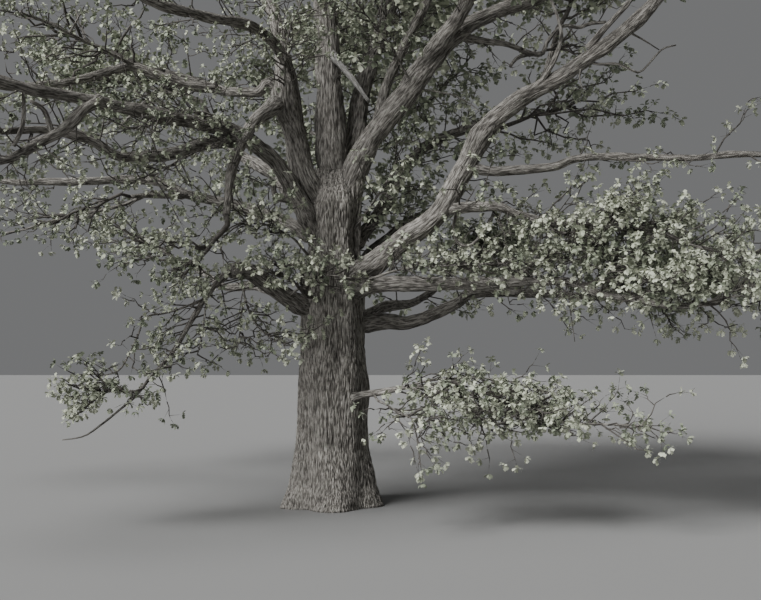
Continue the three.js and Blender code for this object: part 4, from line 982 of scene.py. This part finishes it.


# The twigs' bark: patches between two dark greys, darkened as painted shade.
twig_bark_and_shade, twig_shader = new_finish("thin_twig_bark", {"Roughness": 0.85})
twig_place = new_node(twig_bark_and_shade, "TexCoord", {})["Object"]
twig_patches = new_node(twig_bark_and_shade, "TexNoise", {"Vector": twig_place, "Scale": 14, "Detail": 4})["Fac"]
feed(twig_bark_and_shade, twig_shader, {
    "Base Color": graded(twig_bark_and_shade, twig_patches, (0.3, TWIG_DARK_SHADED), (0.75, TWIG_PALE_SHADED)),
})
mass_names = list(MASSES)
rosettes = {}
for part, members in CROWN_PARTS.items():
    wood, tips = [], []
    for name, sprayed in members.items():
        chance = np.random.default_rng(sum(map(ord, name)))
        if sprayed:
            sprays = limb_sprays(name, *sprayed, chance)
            wood.append(tubes(sprays, SPRAY_RADII, BRANCHLET_SIDES))
            grown(sprays, SPRAY_BRANCHLET_SPACING, None, chance, wood, tips)
        if name in MASSES:
            number = mass_names.index(name)
            middle, radius, _ = MASSES[name]
            stem, heading = mass_stem(name)
            stem_radius = BOUGHS[name][1] * STEM_FOOT_SHARE if name in BOUGHS else TWIG_RADIUS
            stem_line = stem[np.linspace(0, STEM_POINTS - 1, STEM_JOINTS).astype(int)]
            stem_line[1:-1] += chance.normal(size=(STEM_JOINTS - 2, 3)) * STEM_WANDER
            wood.append(tubes(stem_line[None], (stem_radius, STEM_TIP_RADIUS), STEM_SIDES))
            twigs = mass_twigs(name, number, stem, heading, chance)
            wood.append(tubes(twigs, TWIG_RADII, TWIG_SIDES))
            stem_end = wavering(stem[None, STEM_BRANCHED_FROM], stem[None, -1], TWIG_JOINTS, 0, chance)
            parents = np.concatenate([twigs, stem_end])
            run = np.linalg.norm(parents[:, -1] - parents[:, 0], axis=1).sum() * BRANCHED_SHARE
            fullness = LOW_FULLNESS if middle[2] < LOW_MASS_HEIGHT else HIGH_FULLNESS
            wanted = fullness * THINNED.get(name, 1) * radius ** 2 / ROSETTES_PER_BRANCHLET
            grown(parents, run / wanted, number, chance, wood, tips)
    rosettes[part] = [np.concatenate(values) for values in zip(*tips)]
    twigs = piece_from("twigs_" + part, *joined(wood), [twig_bark_and_shade])
    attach(twigs, "root")

# The leaves: young oak leaves, soft and a little downy, in a rosette at the end of each shoot, lobed, and
# hanging a little. Each spray has one of three tints, dealt at random; parts of the crown in shade get more
# of the deep tint, as painted shade.
# Rosettes near the viewer have more and smaller leaves than those high up and at the back.
NEAR_BLADES = {"low_right": 0.108, "low_left": 0.100, "upper_left": 0.086}
NEAR_LEAVES = 7
FAR_LEAVES, FAR_BLADE = 5, 0.160
LEAST_BLADE, BLADE_SPREAD = 0.7, 0.5
LEAST_LEAN, LEAN_SPREAD = 0.75, 0.65
LEAF_DROOP, LEAF_ROLL = 0.30, 0.3
LEAF_TINTS = {
    "leaf_pale": (0.42, 0.44, 0.345), "leaf_middle": (0.31, 0.335, 0.25), "leaf_deep_and_shade": (0.195, 0.22, 0.157),
}
# Each part's shares of the three tints. The upper left part, and more still the parts not listed, get more of
# the deep tint: painted shade on top of the leaves' own spread of tints.
TINT_AND_SHADE_SHARES = {
    "low_right": (0.42, 0.40, 0.18), "low_left": (0.38, 0.40, 0.22), "upper_left": (0.28, 0.40, 0.32),
}
OTHER_TINT_AND_SHADE_SHARES = (0.16, 0.42, 0.42)
LEAF_SHEEN = {"Roughness": 0.62, "Specular IOR Level": 0.35, "Sheen Weight": 0.15}
VEIN_NOISE, VEIN_BUMP = {"Scale": 45, "Detail": 3}, {"Strength": 0.5, "Distance": 0.004}
# One blade of length 1, cut across in pairs from its root: along the midrib, half width, and height above it.
NEAR_CUTS = ((0.34, 0.27, 0.09), (0.52, 0.17, 0.10), (0.75, 0.33, 0.02))
FAR_CUTS = ((0.40, 0.27, 0.09), (0.73, 0.32, 0.03))
BLADE_TIP = (1, 0, -0.16)


def blade_shape(cuts):
    """The points and triangles of one blade: its root, a pair of points at each cut, and its tip."""
    points = [(0, 0, 0)] + [(x, side * y, z) for x, y, z in cuts for side in (1, -1)] + [BLADE_TIP]
    faces = [(i, i + 2, i + 1) if i % 2 == 0 else (i, i + 1, i + 2) for i in range(len(points) - 2)]
    return np.array(points), np.array(faces)


def leaf_finish(name, tint):
    """A soft matt leaf: one plain colour, with a fine uneven surface."""
    finish, shader = new_finish(name, {"Base Color": (*tint, 1), **LEAF_SHEEN})
    place = new_node(finish, "TexCoord", {})["Object"]
    veins = new_node(finish, "TexNoise", {"Vector": place, **VEIN_NOISE})["Fac"]
    bump = new_node(finish, "Bump", {"Height": veins, **VEIN_BUMP})["Normal"]
    feed(finish, shader, {"Normal": bump})
    return finish


leaf_finishes = [leaf_finish(name, tint) for name, tint in LEAF_TINTS.items()]
for part, (places, axes, sprays) in rosettes.items():
    near = part in NEAR_BLADES
    blade_points, blade_faces = blade_shape(NEAR_CUTS if near else FAR_CUTS)
    leaves_each, blade = (NEAR_LEAVES, NEAR_BLADES[part]) if near else (FAR_LEAVES, FAR_BLADE)
    chance = np.random.default_rng(len(places))
    count = len(places)
    side = unit(np.cross(axes, chance.normal(size=(count, 3))))
    other = np.cross(axes, side)
    turn = np.arange(leaves_each) * GOLDEN_ANGLE + chance.random((count, 1)) * math.tau
    lean = LEAST_LEAN + LEAN_SPREAD * chance.random((count, leaves_each))
    headings = axes[:, None] * np.cos(lean)[..., None] + np.sin(lean)[..., None] * (
        side[:, None] * np.cos(turn)[..., None] + other[:, None] * np.sin(turn)[..., None]
    )
    headings[..., 2] -= LEAF_DROOP
    headings = unit(headings)
    above = unit(UP - headings * headings[..., 2:] + chance.normal(size=headings.shape) * LEAF_ROLL)
    across = unit(np.cross(above, headings))
    above = np.cross(headings, across)
    size = blade * (LEAST_BLADE + BLADE_SPREAD * chance.random((count, leaves_each, 1, 1)))
    blades = places[:, None, None] + size * (
        blade_points[:, :1] * headings[:, :, None] + blade_points[:, 1:2] * across[:, :, None]
        + blade_points[:, 2:] * above[:, :, None]
    )
    corners = np.arange(count * leaves_each)[:, None, None] * len(blade_points) + blade_faces
    # The deep tint's larger share in the shaded parts is painted shade.
    shares = TINT_AND_SHADE_SHARES.get(part, OTHER_TINT_AND_SHADE_SHARES)
    spray_tints = chance.choice(len(LEAF_TINTS), size=sprays.max() + 1, p=shares)
    dealt = np.repeat(spray_tints[sprays], leaves_each * len(blade_faces))
    leaves = piece_from(
        "leaves_" + part, blades.reshape(-1, 3), [corners.reshape(-1, 3)], leaf_finishes, dealt, smooth=False,
    )
    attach(leaves, "root")
    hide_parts(*("leaves_" + name for name in CROWN_PARTS[part] if name in MASSES))
